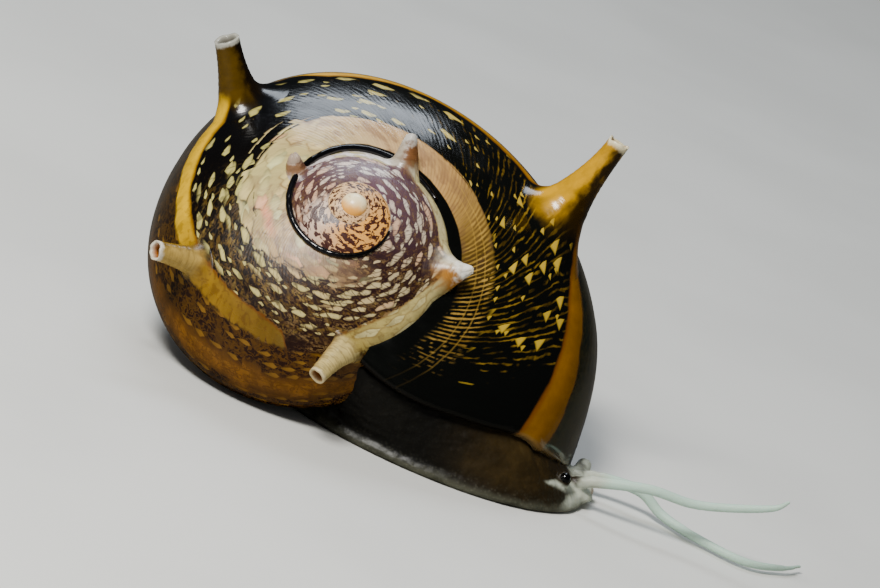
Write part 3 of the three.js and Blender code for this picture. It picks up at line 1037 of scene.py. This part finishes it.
calmLayers = 2
markLayers = [
    ((0.09, 0.086), (0.62, 0.82), 0.95, 0.9, (0.36, 0.92),
     [(0, 0.05), (0.02, 0.1), (0.05, 0.55), (0.17, 0.55), (0.23, 0.2), (0.26, 0)]),
    ((0.05, 0.045), (0.7, 0.8), 1, 0.8, (0.33, 0.95),
     [(0.05, 0), (0.08, 0.14), (0.22, 0.2), (0.3, 0.1), (0.4, 0)]),
    ((0.14, 0.1), (0.8, 0.74), 0.6, 0.6, (0.38, 0.9),
     [(0.22, 0), (0.27, 0.46), (0.38, 0.4), (0.5, 0.36), (0.58, 0.34), (0.64, 0)]),
    ((0.08, 0.055), (0.8, 0.75), 0.7, 0.6, (0.34, 0.92),
     [(0.25, 0), (0.3, 0.15), (0.5, 0.2), (0.6, 0.4), (0.9, 0.4), (1.1, 0.2)]),
    ((0.15, 0.08), (0.88, 0.84), 0.5, 0.55, (0.5, 0.84),
     [(0.54, 0), (0.6, 0.5), (0.85, 0.55), (1, 0.4), (1.1, 0)]),
    ((0.18, 0.085), (0.96, 0.96), 0.42, 0.55, (0.34, 0.58),
     [(0.54, 0), (0.6, 0.85), (0.85, 0.85), (1, 0.5), (1.1, 0)]),
    ((0.2, 0.085), (0.98, 0.94), 0.45, 0.6, (0.02, 0.86),
     [(0.78, 0), (0.92, 0.6), (1.05, 0.72), (1.25, 0.4)]),
    ((0.14, 0.06), (0.95, 0.9), 0.5, 0.6, (0.02, 0.86), [(0.8, 0), (0.95, 0.4), (1.2, 0.3)]),
    ((0.36, 0.13), (0.98, 0.94), 0.5, 0.55, (0.02, 0.86), [(0.98, 0), (1.15, 0.85), (3.2, 0.9)]),
]


def makeShellPattern():
    group, given, out = newGroup("Shell pattern", ["Growth:Vector", "Marks:Vector"],
                                 ["Color:Color", "Height", "Roughness"])
    turn, share, _ = separate(given["Growth"])
    plain = given["Marks"]
    warp = noiseAt(plain, 8, output="Color")
    warp = vectorCalc("MULTIPLY", vectorCalc("SUBTRACT", warp, (0.5, 0.5, 0.5)), (0.045, 0.045, 0))
    marks = vectorCalc("ADD", plain, warp)
    calm = vectorCalc("ADD", plain, vectorCalc("MULTIPLY", warp, (0.3, 0.3, 0)))
    drift = separate(warp)[1] * 1.1
    ragged = share + drift

    def over(points):
        return curveOver(turn, points)

    def byTurn(name, high):
        return rampOver(turn, shellColours[name], 0, high)

    def stretched(along, across, *settings):
        # noise drawn out along the growth lines
        return noiseAt(combine(turn * along, share * across), 1, *settings)

    def cloudy(size, *settings):
        return noiseAt(vectorCalc("MULTIPLY", plain, size), 1, 3, *settings)

    streaks = stretched(60, 5, 3, 0.6)

    # ground, with winding brown lines on the older half
    ground = byTurn("ground", 2.6)
    clusters = cloudy((7, 14, 0))
    winding = squigglesAt(plain, (24, 40, 0), 0.07) * between(clusters, 0.36, 0.56)
    windingZone = over([(0.6, 0), (0.72, 0.6), (1, 0.8), (1.3, 0.5), (3.2, 0.4)])
    windingColour = rampOver(clusters, [(0.3, (74, 52, 32)), (0.5, (110, 84, 52)), (0.7, (146, 122, 84))])
    colour = mixed(winding * windingZone, ground, windingColour)
    shreds = stretched(110, 15, 3, 0.6, 0.6)
    shredAge = [(0.56, 0), (0.64, 0.6), (0.86, 0.6), (0.95, 0.4), (3.2, 0.3)]
    shredZone = inRange(ragged, 0.5, 0.95, 0.04) * over(shredAge)
    shredColour = rampOver(clusters, [(0.3, (74, 56, 26)), (0.5, (116, 92, 44)), (0.7, (150, 128, 72))])
    colour = mixed(between(shreds, 0.5, 0.6) * shredZone, colour, shredColour)

    # fine gold growth lines on the young black ramp
    lineAge = [(0, 0), (0.035, 0.2), (0.07, 0.78), (0.2, 0.82), (0.26, 0.6), (0.34, 0.36), (0.4, 0.2),
               (3.2, 0.1)]
    lines = useGroup(linesGroup, {
        "Turn": turn, "Share": share, "Count": 164, "Waviness": 1.1, "Dash Scale": 10,
        "Thickness": between(turn, 0.18, 0.3, 0.66, 0.95), "Coverage": over(lineAge)})
    lineZone = inRange(ragged, 0.3, 0.93, 0.05) * over([(0.28, 1), (0.4, 0.3), (3.2, 0.2)])
    patches = streaks + (clusters - 0.5) * 0.8
    lineColour = rampOver(patches, [(0.2, (34, 26, 9)), (0.45, (76, 60, 22)), (0.7, (140, 114, 46))])
    colour = mixed(lines["Mask"] * lineZone * 0.9, colour, lineColour)

    # tents and tongues, each layer a hair aside from the one before
    aside = 0

    def nudged(place):
        return vectorCalc("ADD", place, combine(aside, aside))

    pale = byTurn("pale", 2.6)
    outlineStrength = over([(0.5, 0), (0.7, 0.6)])
    warmth = over([(0.7, 0), (0.88, 0.75)])
    for seed, (cell, size, point, blunt, ends, coverage) in enumerate(markLayers):
        place = nudged(calm if seed < calmLayers else marks)
        tents = tilesAt(place, cell, size, point, blunt, over(coverage), seed)
        luck, edge = tents["Random"], tents["Edge"]
        aside = luck * 0.0005
        shade = between(luck, 0, 1, 0.74, 1.04) * between(edge, 0, 0.5, 0.62, 1.06)
        zone = inRange(share, *ends, 0.03)
        outline = between(edge, -0.3, 0) * tents["Present"] * zone * outlineStrength
        colour = mixed(outline, colour, shaded(ground, 0.8))
        tint = mixed(between(luck, 0.25, 0.75) * warmth, pale, (190, 150, 120))
        colour = mixed(tents["Mask"] * zone, colour, shaded(tint, shade))

    # thin dark growth lines that feather the marks of the older half
    cuts = stretched(190, 9, 2, 0.6, 0.4)
    cutAge = [(0.34, 0), (0.42, 0.6), (0.56, 0.6), (0.7, 0.4), (0.88, 0.9), (1.2, 0.7), (3.2, 0.6)]
    colour = mixed(between(cuts, 0.5, 0.64) * over(cutAge), colour, shaded(ground, 0.9))

    # oldest whorls: cream to orange with dark brown blots
    blots = cloudy((7, 9.5, 0), 0.6, 0.4)
    blotEdge = over([(1.6, 0.46), (1.9, 0.48), (2.3, 0.49), (2.6, 0.5), (3.2, 0.55)])
    blotMask = between(blots, blotEdge, blotEdge + 0.04)
    oldest = mixed(blotMask, rampOver(turn, shellColours["spire"], 1.6, 2.6), ground)
    colour = mixed(between(turn + drift, 1.62, 1.72), colour, oldest)

    # pale band beside the suture: rounded tongues lying over one another, and on the newest part
    # only close gold lines
    bandLow = over([(0, 0.12), (0.4, 0.095), (0.5, 0.07), (0.6, 0.045), (1, 0.04), (3.2, 0)])
    bandHigh = over([(0, 0.31), (0.3, 0.33), (0.4, 0.33), (0.5, 0.36), (0.6, 0.39), (0.72, 0.35),
                     (0.95, 0.27), (1.1, 0.25), (3.2, 0.2)])
    base = byTurn("band", 1.4)
    band = shaded(base, 0.8)
    scaled = over([(0.34, 0), (0.44, 0.4), (0.52, 0.8), (0.6, 1)])
    reach = 0
    gapColour = mixed(between(share, bandHigh - 0.14, bandHigh), (150, 124, 84), ground)
    for cell, coverage, seed in ((0.22, 0.1), 1, 21), ((0.26, 0.115), 0.75, 22), ((0.24, 0.105), 0.5, 23):
        tongues = tilesAt(nudged(marks), cell, (1, 0.98), 0.5, 0.62, coverage, seed)
        luck, edge, present = tongues["Random"], tongues["Edge"], tongues["Present"]
        aside = luck * 0.0005
        tint = mixed(between(luck, 0.6, 0.95, 0, 0.75), base, (216, 166, 134))
        tint = mixed(between(luck, 0.35, 0.05, 0, 0.6), tint, (214, 214, 164))
        glow = between(tongues["Along"], 0, 0.7, 0.64, 1.08) * between(edge, 0, 0.5, 0.82, 1.06)
        tint = shaded(tint, glow * between(luck, 0, 1, 0.9, 1.06))
        rimMask = product(between(edge, -0.3, 0), between(tongues["Along"], 0.35, 0.75), present, scaled,
                          between(luck, 0.2, 0.7, 0.25, 1))
        band = mixed(rimMask, band, gapColour)
        band = mixed(between(edge, -0.04, 0.16) * present * scaled, band, tint)
        reach = reach + (luck - 0.5) * present * 0.14
    band = mixed(1 - scaled, band, base)
    salmon = product(inRange(turn + drift, 0.69, 0.74, 0.03), inRange(ragged, 0.19, 0.27, 0.04),
                     between(streaks, 0.3, 0.6, 0.4, 1))
    band = mixed(salmon, band, (228, 150, 118))
    bandPlace = share + drift * 0.4 + reach * over([(0, 0), (0.3, 0.1), (0.5, 0.8), (3.2, 1)])
    bandStrength = over([(0.14, 0), (0.25, 0.85), (0.3, 1), (0.84, 1), (1.02, 0)])
    bandZone = between(share, bandLow - 0.008, bandLow) * between(bandPlace, bandHigh + 0.02, bandHigh)
    bandZone = bandZone * bandStrength
    close = useGroup(linesGroup, {
        "Turn": turn, "Share": share, "Count": 174, "Waviness": 0.8, "Thickness": 1, "Dash Scale": 26,
        "Coverage": over([(0, 0.3), (0.05, 0.6), (0.12, 1), (3.2, 1.2)])})
    fine = product(between(close["Wave"], 0.2, -0.8), between(clusters, 0.3, 0.6, 0.4, 1),
                   over([(0, 0.7), (0.2, 0.55), (0.28, 0.3), (0.4, 0.12), (0.46, 0)]))
    band = mixed(fine, band, (96, 66, 30))
    smudgeAge = [(0, 0.2), (0.3, 0.5), (0.5, 0.6), (0.6, 0.25), (0.72, 0.6), (0.9, 0.7), (3.2, 0.5)]
    band = mixed(between(blots, 0.5, 0.64) * over(smudgeAge), band, (128, 98, 80))
    band = shaded(band, between(streaks, 0.2, 0.8, 0.84, 1.08))
    colour = mixed(bandZone, colour, band)
    closeAge = [(0, 0), (0.04, 0.3), (0.12, 0.95), (0.24, 0.6), (0.3, 0)]
    closeZone = inRange(ragged, 0.13, 0.32, 0.025) * over(closeAge)
    closeColour = rampOver(patches, [(0.25, (104, 80, 32)), (0.7, (182, 150, 84))])
    colour = mixed(close["Mask"] * closeZone, colour, closeColour)
    for place, strength in (0.205, 0.6), (0.262, 0.8):
        thread = inRange(share + drift * 0.3, place, place + 0.002, 0.006)
        fade = over([(0, 0.3), (0.1, 0.8), (0.25, 1), (0.33, 0)])
        colour = mixed(thread * strength * fade, colour, (194, 160, 84))

    # gold band on the keel, partly painted light: darkest at the lip on the right and brightest near the top
    # left, with a painted sheen at turns 1.3 to 1.6, where the band is widened to carry it
    keelLow = over([(0, 0.87), (0.05, 0.88), (0.1, 0.92), (0.13, 0.99), (0.17, 0.975), (0.29, 0.97),
                    (0.32, 0.95), (0.38, 0.93), (0.4, 1.02), (0.43, 1.02), (0.45, 0.92), (0.58, 0.915),
                    (0.64, 0.9), (0.7, 0.87), (0.75, 0.865), (0.772, 0.89), (0.788, 0.94), (0.798, 1.1),
                    (0.845, 1.1), (0.86, 0.88), (0.9, 0.8), (0.95, 0.77), (0.99, 0.78), (1.03, 0.87),
                    (1.08, 0.85), (1.12, 0.8), (1.22, 0.85), (1.3, 0.74), (1.44, 0.72), (1.52, 0.85)])
    keel = shaded(byTurn("keel", 1.7), between(streaks, 0.25, 0.75, 0.8, 1.1))
    ridge = tilesAt(nudged(marks), (0.2, 0.1), (1, 0.98), 0.5, 0.6, 0.85, 31)
    ridgeAge = over([(0.84, 0), (0.9, 0.8)])
    ridgeRim = between(ridge["Edge"], -0.4, 0.1) * ridge["Present"] * ridgeAge * 0.7
    keel = mixed(ridgeRim, keel, (128, 102, 64))
    ridgeTint = shaded((204, 194, 146), between(ridge["Along"], 0, 0.7, 0.7, 1.05))
    keel = mixed(ridge["Mask"] * ridgeAge, keel, ridgeTint)
    keelShreds = [(0, 0.1), (0.5, 0.12), (0.66, 0.45), (0.84, 0.6), (0.95, 0.25), (3.2, 0.2)]
    keel = mixed(between(shreds, 0.5, 0.62) * over(keelShreds), keel, (92, 62, 26))
    keel = mixed(between(share - keelLow, 0.04, 0) * 0.7, keel, (104, 58, 14))
    feathered = (shreds - 0.5) * over([(0.6, 0), (0.68, 0.1), (3.2, 0.08)])
    colour = mixed(inRange(ragged + feathered, keelLow, 1.042, 0.012), colour, keel)

    # side wall below the keel, darkened partly as painted shade on the lower side, and greenish near the lip
    # as a painted reflection
    side = byTurn("side", 1.4)
    sideMarkColour = byTurn("sideMarks", 1.4)
    cells = tilesAt(nudged(marks), (0.085, 0.07), (0.95, 0.9), 0.6, 0.6,
                    over([(0.55, 0), (0.66, 0.6), (3.2, 0.7)]), 32)
    sideAge = over([(0, 0.15), (0.4, 0.35), (0.6, 0.85), (3.2, 0.8)])
    sideWinding = squigglesAt(plain, (26, 26, 0), 0.07) * sideAge * 0.75
    sideShreds = between(shreds, 0.5, 0.6) * sideAge * 0.5
    side = mixed(calc("MAXIMUM", sideWinding, sideShreds), side, sideMarkColour)
    sideTongue = shaded((140, 106, 46), between(cells["Along"], 0, 0.8, 0.6, 1.1))
    side = mixed(cells["Mask"] * sideAge * 0.7, side, sideTongue)
    tanLow = over([(0, 1.4), (0.5, 1.24), (0.7, 1.17), (0.85, 1.15)])
    tanPlace = ragged + (cells["Random"] - 0.5) * 0.04
    tanAge = [(0, 0), (0.55, 0.1), (0.68, 0.9), (3.2, 0.8)]
    tanZone = inRange(tanPlace, tanLow, tanLow + 0.085, 0.035) * over(tanAge)
    tan = shaded((124, 86, 36), between(streaks, 0.2, 0.8, 0.6, 1.2))
    tan = mixed(calc("MAXIMUM", sideWinding * 0.8, sideShreds * 0.7), tan, (60, 36, 16))
    side = mixed(tanZone, side, tan)
    colour = mixed(between(ragged, 1.032, 1.052), colour, side)

    # black beside the suture, and over all of the newest growth
    black = between(ragged, bandLow, bandLow - 0.015) * between(turn, 1.25, 1.05)
    youngBlack = between(turn, 0.055, 0.02) * between(ragged, 0.875, 0.86) * 0.85
    colour = mixed(calc("MAXIMUM", black, youngBlack), colour, (12, 13, 11))

    # thin tan edge of the lip beside the keel, and the inside of the mouth: tan by the keel and near black
    # elsewhere as painted shade
    lipTan = inRange(share, 0.88, 1.5, 0.03)
    colour = mixed(between(turn, 0.003, 0) * lipTan * 0.6, colour, (122, 98, 60))
    innerTanAndShadeColour = mixed(lipTan, (20, 17, 13), (98, 82, 56))
    colour = mixed(between(turn, -0.001, -0.15), colour, innerTanAndShadeColour)

    # relief: growth ridges, finer lines and a little pitting
    height = streaks * 1.6 + lines["Wave"] * 0.12 + noiseAt(plain, 24, 3) * 0.9
    roughness = between(noiseAt(plain, 9, 3), 0.3, 0.7, 0.12, 0.22)
    duller = over([(0.55, 0), (0.68, 0.2), (0.9, 0.2), (1.3, 0.12), (3.2, 0.15)])
    duller = duller * between(share, 1.1, 0.9, 0.2, 1)
    feed(out, {"Color": colour, "Height": height, "Roughness": roughness + duller})
    return group


shellPattern = makeShellPattern()


def uvOf(name):
    return valueOf("UVMap", {}, uv_map=name)


def patternHere():
    return useGroup(shellPattern, {"Growth": uvOf("Growth"), "Marks": uvOf("Marks")})


def placeHere():
    return valueOf("TexCoord", {}, "Object")


def bumped(height, strength=0.25, distance=0.00003):
    return valueOf("Bump", {"Height": height, "Distance": distance, "Strength": strength})


def makeShellMaterial():
    material, shader = newMaterial("shell", specular=0.36)
    pattern = patternHere()
    feed(shader, {"Base Color": pattern["Color"], "Roughness": pattern["Roughness"],
                  "Normal": bumped(pattern["Height"])})
    return material


def makeDeckMaterial():
    # the whorl's own markings above, and a smooth greyish callus below
    material, shader = newMaterial("deck")
    pattern = patternHere()
    spot = placeHere()
    cloud = noiseAt(spot, 400, 4)
    height = separate(spot)[2] + (cloud - 0.5) * 0.002
    callus = mixed(between(cloud, 0.35, 0.65), (122, 112, 92), (90, 80, 62))
    colour = mixed(between(height, 0.0034, 0.0024), pattern["Color"], callus)
    feed(shader, {"Base Color": colour, "Normal": bumped(cloud)})
    return material


# Spines: the shell's pattern at the root runs into horn that is amber on the older side and
# dark on the side of the lip, with growth rings, a worn tip and its hollow

lookColumns = ("older", "lipward", "tip", "hollow", "tipStart", "tipNoise", "split", "rings")
spineLooks = [dict(zip(lookColumns, row)) for row in [
    ((196, 152, 14), (50, 36, 4), (222, 212, 180), (150, 96, 30), 0.95, 0.15, -0.62, 0),
    ((84, 64, 18), (28, 20, 10), (172, 170, 160), (96, 92, 84), 0.93, 0.15, -0.1, 0),
    ((176, 150, 90), (120, 96, 44), (214, 206, 188), (150, 92, 30), 0.92, 0.2, -0.1, 0.25),
    ((190, 172, 120), (176, 152, 102), (206, 190, 152), (140, 84, 36), 0.93, 0.2, -0.6, 0.5),
    # spine 5: the whitish older side, which faces up, is partly a painted highlight
    ((208, 200, 178), (166, 118, 58), (222, 218, 208), (216, 208, 190), 0.74, 0.9, -0.1, 0.2),
    ((178, 166, 150), (120, 84, 54), (196, 192, 184), (196, 192, 184), 0.84, 0.6, 0.1, 0.2),
    ((140, 108, 82), (98, 66, 46), (166, 148, 132), (166, 148, 132), 0.86, 0.6, 0, 0.2),
]]


def makeSpineMaterial(looks, name):
    material, shader = newMaterial(name, specular=0.4)
    pattern = patternHere()
    around, share, _ = separate(uvOf("Spine"))
    angle = around * wholeTurn
    facing = calc("COSINE", angle)
    patchy = noiseAt(combine(facing, calc("SINE", angle), share * 5), 1.4, 4) - 0.5
    side = between(facing + patchy * 1, looks["split"] - 0.35, looks["split"] + 0.35)
    horn = mixed(side, looks["lipward"], looks["older"])
    rings = noiseAt(combine(share * 34 + patchy * 2, facing), 1)
    ringMask = between(rings, 0.48, 0.6, 0, looks["rings"])
    horn = mixed(ringMask, horn, mixed(0.75, horn, (70, 44, 24)))
    horn = shaded(horn, between(patchy, -0.2, 0.2, 0.82, 1.1))
    edge = share + patchy * looks["tipNoise"]
    soft = looks["tipNoise"] * 0.25
    horn = mixed(between(edge, looks["tipStart"] - soft, looks["tipStart"] + soft), horn, looks["tip"])
    horn = mixed(between(share, 1.2, 1.6), horn, looks["hollow"])
    grown = separate(uvOf("Root"))[0] + patchy * 0.5
    colour = mixed(between(grown, 0.35, 0.8), pattern["Color"], horn)
    feed(shader, {"Base Color": colour, "Roughness": pattern["Roughness"],
                  "Normal": bumped(rings + patchy, 0.3)})
    return material


def makeLidMaterial():
    # growth arcs around the lid's nucleus at one end of its straight edge
    material, shader = newMaterial("lid", 0.3)
    spot = placeHere()
    nucleus = (lid["middle"] + Vector((0, lid["width"] * 0.4, 0))) * mm
    away = valueOf("VectorMath", {0: spot, 1: nucleus}, "Value", operation="DISTANCE")
    cloud = noiseAt(spot, 700, 3)
    phase = away * 14000 + cloud * 6
    arcs = between(calc("SINE", phase), -1, 1)
    colour = mixed(between(cloud, 0.35, 0.65), (116, 100, 78), (80, 66, 50))
    colour = mixed(arcs * 0.5, colour, (48, 36, 26))
    feed(shader, {"Base Color": colour, "Normal": bumped(arcs, 0.4, 0.00004)})
    return material


# Flesh: pale grey-green and translucent, darker on the back, where painted shade turns it near black under
# the shell and low by the floor, wet all over

def makeWet():
    group, given, out = newGroup("Wet skin", ["Position:Vector", "Grain"], ["Height", "Speckle", "Cloud"])
    spot = given["Position"]
    grain = valueOf("TexVoronoi", {"Vector": spot, "Scale": given["Grain"], "Randomness": 1}, "Distance")
    speckle = between(grain, 0.45, 0.2)
    cloud = noiseAt(spot, 420, 4, 0.6)
    wrinkle = noiseAt(spot, 1500, 3, 0.55)
    feed(out, {"Height": grain * -0.4 + wrinkle, "Speckle": speckle, "Cloud": cloud})
    return group


wetGroup = makeWet()


def makeSkinMaterial():
    material, shader = newMaterial("skin", 0.44, 0.28)
    spot = placeHere()
    wet = useGroup(wetGroup, {"Position": spot, "Grain": 7000})
    x, y, z = separate(spot)
    cloud = wet["Cloud"]
    # partly the flesh's own dark brown and partly painted shade: near black towards the back under the shell
    # and close to the floor, brown towards the head
    brown = rampOver(cloud, [(0.3, (30, 24, 11)), (0.55, (52, 41, 20)), (0.75, (72, 58, 31))])
    dark = rampOver(cloud, [(0.3, (10, 10, 7)), (0.6, (17, 16, 12)), (0.8, (28, 26, 19))])
    brownness = between(x, 0.003, 0.0068) * between(z, 0.0003, 0.0011, 0.3, 1)
    colour = mixed(brownness, dark, brown)
    # grey edge of the sole, ragged upwards
    edgeHeight = z + (cloud - 0.5) * 0.0012
    greyEdge = between(edgeHeight, 0.0006, 0.0002) * between(x, 0, 0.005, 0.7, 1)
    greyColour = rampOver(cloud, [(0.3, (36, 36, 28)), (0.5, (66, 66, 54)), (0.75, (112, 112, 98))])
    colour = mixed(greyEdge, colour, greyColour)
    # pale muzzle, and a pale fold that runs back under each eye
    muzzle = between(x + (cloud - 0.5) * 0.002, 0.0094, 0.0099)
    fold = z - 0.00345 + x * 0.273 + (cloud - 0.5) * 0.0003
    foldWidth = between(x, 0.0084, 0.0097, 0.00008, 0.00024, "LINEAR")
    fold = between(abs(fold), foldWidth, 0) * between(x, 0.0083, 0.0087)
    headPale = calc("MAXIMUM", muzzle * between(z, 0.0002, 0.0005, 0.3, 1), fold)
    headPale = headPale * between(z, 0.0015, 0.0011, between(x, 0.0092, 0.0098), 1)
    colour = mixed(headPale, colour, (182, 186, 172))
    # brown slit of the mouth, under a pinkish upper lip
    aside = abs(y + 0.0005)
    front = between(x, 0.0101, 0.0104)
    lips = between(aside, 0.0007, 0.0002) * (front * 0.6) * between(z, 0.0008, 0.0006)
    colour = mixed(lips, colour, (166, 132, 112))
    slit = between(aside, 0.00008, 0.00003) * (front * 0.85) * between(z, 0.00068, 0.00058)
    colour = mixed(slit, colour, (74, 46, 36))
    # pale feelers, and pale specks low on the foot
    colour = mixed(between(x, 0.0104, 0.0112), colour, (184, 206, 192))
    colour = mixed(wet["Speckle"] * between(z, 0.0009, 0.0002, 0.01, 0.1), colour, (136, 136, 120))
    feed(shader, {"Base Color": colour, "Subsurface Weight": 0.15, "Subsurface Radius": (0.6, 0.45, 0.3),
                  "Subsurface Scale": 0.0004, "Normal": bumped(wet["Height"], 0.3, 0.00004)})
    return material


def makeMottled(name, first, second, roughness, scale):
    # two colours in soft clouds, for the small and hidden pieces
    material, shader = newMaterial(name, roughness)
    wet = useGroup(wetGroup, {"Position": placeHere(), "Grain": scale})
    colour = mixed(between(wet["Cloud"], 0.35, 0.65), first, second)
    feed(shader, {"Base Color": colour, "Normal": bumped(wet["Height"])})
    return material


def makeKnobMaterial():
    # cream above and orange below, with faint brown clouds; the split by height is partly the apex's own
    # colours and partly painted light, a painted highlight on top and painted shade underneath
    material, shader = newMaterial("knob", 0.28)
    spot = placeHere()
    height = separate(spot)[2]
    cloud = noiseAt(spot, 2600, 3)
    colour = mixed(between(height + cloud * 0.0004, 0.0096, 0.009), (255, 240, 200), (236, 172, 88))
    colour = mixed(between(cloud, 0.56, 0.66, 0, 0.5), colour, (206, 170, 120))
    feed(shader, {"Base Color": colour, "Normal": bumped(cloud)})
    return material


dress(shellPiece, makeShellMaterial(), "shell", "shell_body_whorl", "shell_spire", "shell_apex")
dress(cordPiece, makeMottled("cord", (6, 6, 8), (20, 20, 24), 0.16, 6000), "shell")
dress(knobPiece, makeKnobMaterial(), "shell")
dress(deckPiece, makeDeckMaterial(), "shell")
for i, piece in enumerate(spinePieces):
    dress(piece, makeSpineMaterial(spineLooks[i], f"horn_{i + 1}"), "spine", f"spine_{i + 1}")
dress(skinPiece, makeSkinMaterial(), "flesh", "foot", "mantle", "head",
      *[f"tentacle_{side}_{part}" for side in ("right", "left") for part in ("root", "middle", "tip")])
eyeMaterial = makeMottled("eye", (4, 4, 5), (12, 11, 12), 0.08, 4000)
for piece, side in zip(eyePieces, ("right", "left")):
    dress(piece, eyeMaterial, "eye", f"eye_{side}")
dress(lidPiece, makeLidMaterial(), "operculum", "operculum")
print("materials made")


# Floor and light

def makeFloorMaterial():
    # pale, but dim in reflections, so that the glaze keeps its own colours
    material, shader = newMaterial("floor", 0.6)
    cloud = noiseAt(placeHere(), 60, 3)
    colour = mixed(between(cloud, 0.35, 0.65), (222, 222, 218), (216, 216, 212))
    reflected = valueOf("LightPath", {}, "Is Glossy Ray")
    feed(shader, {"Base Color": mixed(reflected, colour, (92, 88, 80)), "Normal": bumped(cloud)})
    return material


def buildFloor():
    bm = bmesh.new()
    bmesh.ops.create_grid(bm, x_segments=1, y_segments=1, size=1)
    bmesh.ops.scale(bm, vec=(400, 300, 1), verts=bm.verts)
    floor = finishMesh(bm, "floor")
    floor.data.materials.append(makeFloorMaterial())


buildFloor()


def addLight(name, place, target, size, power, colour):
    data = bpy.data.lights.new(name, "AREA")
    data.shape = "RECTANGLE"
    data.size = size[0] * mm
    data.size_y = size[1] * mm
    data.energy = power
    data.color = colour
    light = bpy.data.objects.new(name, data)
    light.location = Vector(place) * mm
    light.rotation_euler = (Vector(target) - Vector(place)).to_track_quat("-Z", "Y").to_euler()
    bpy.context.scene.collection.objects.link(light)


addLight("key", (-60, -100, 140), (0, 0, 5), (55, 45), 0.5, (1, 0.98, 0.94))
addLight("sky", (-28, 98, 150), (-2, 0, 8), (100, 50), 0.14, (0.82, 0.9, 1))


def makeWorld():
    # pale to the camera, dimmer to the pieces, so that black shell stays black
    world = bpy.data.worlds.new("world")
    world.use_nodes = True
    wiring["tree"] = world.node_tree
    path = outputsOf(addNode("LightPath", {}))
    dim = mixed(path["Is Glossy Ray"], (0.2, 0.205, 0.21, 1), (0.02, 0.022, 0.025, 1))
    seen = mixed(path["Is Camera Ray"], dim, (0.62, 0.64, 0.66, 1))
    feed(world.node_tree.nodes["Background"].inputs, {"Color": seen})
    bpy.context.scene.world = world


makeWorld()
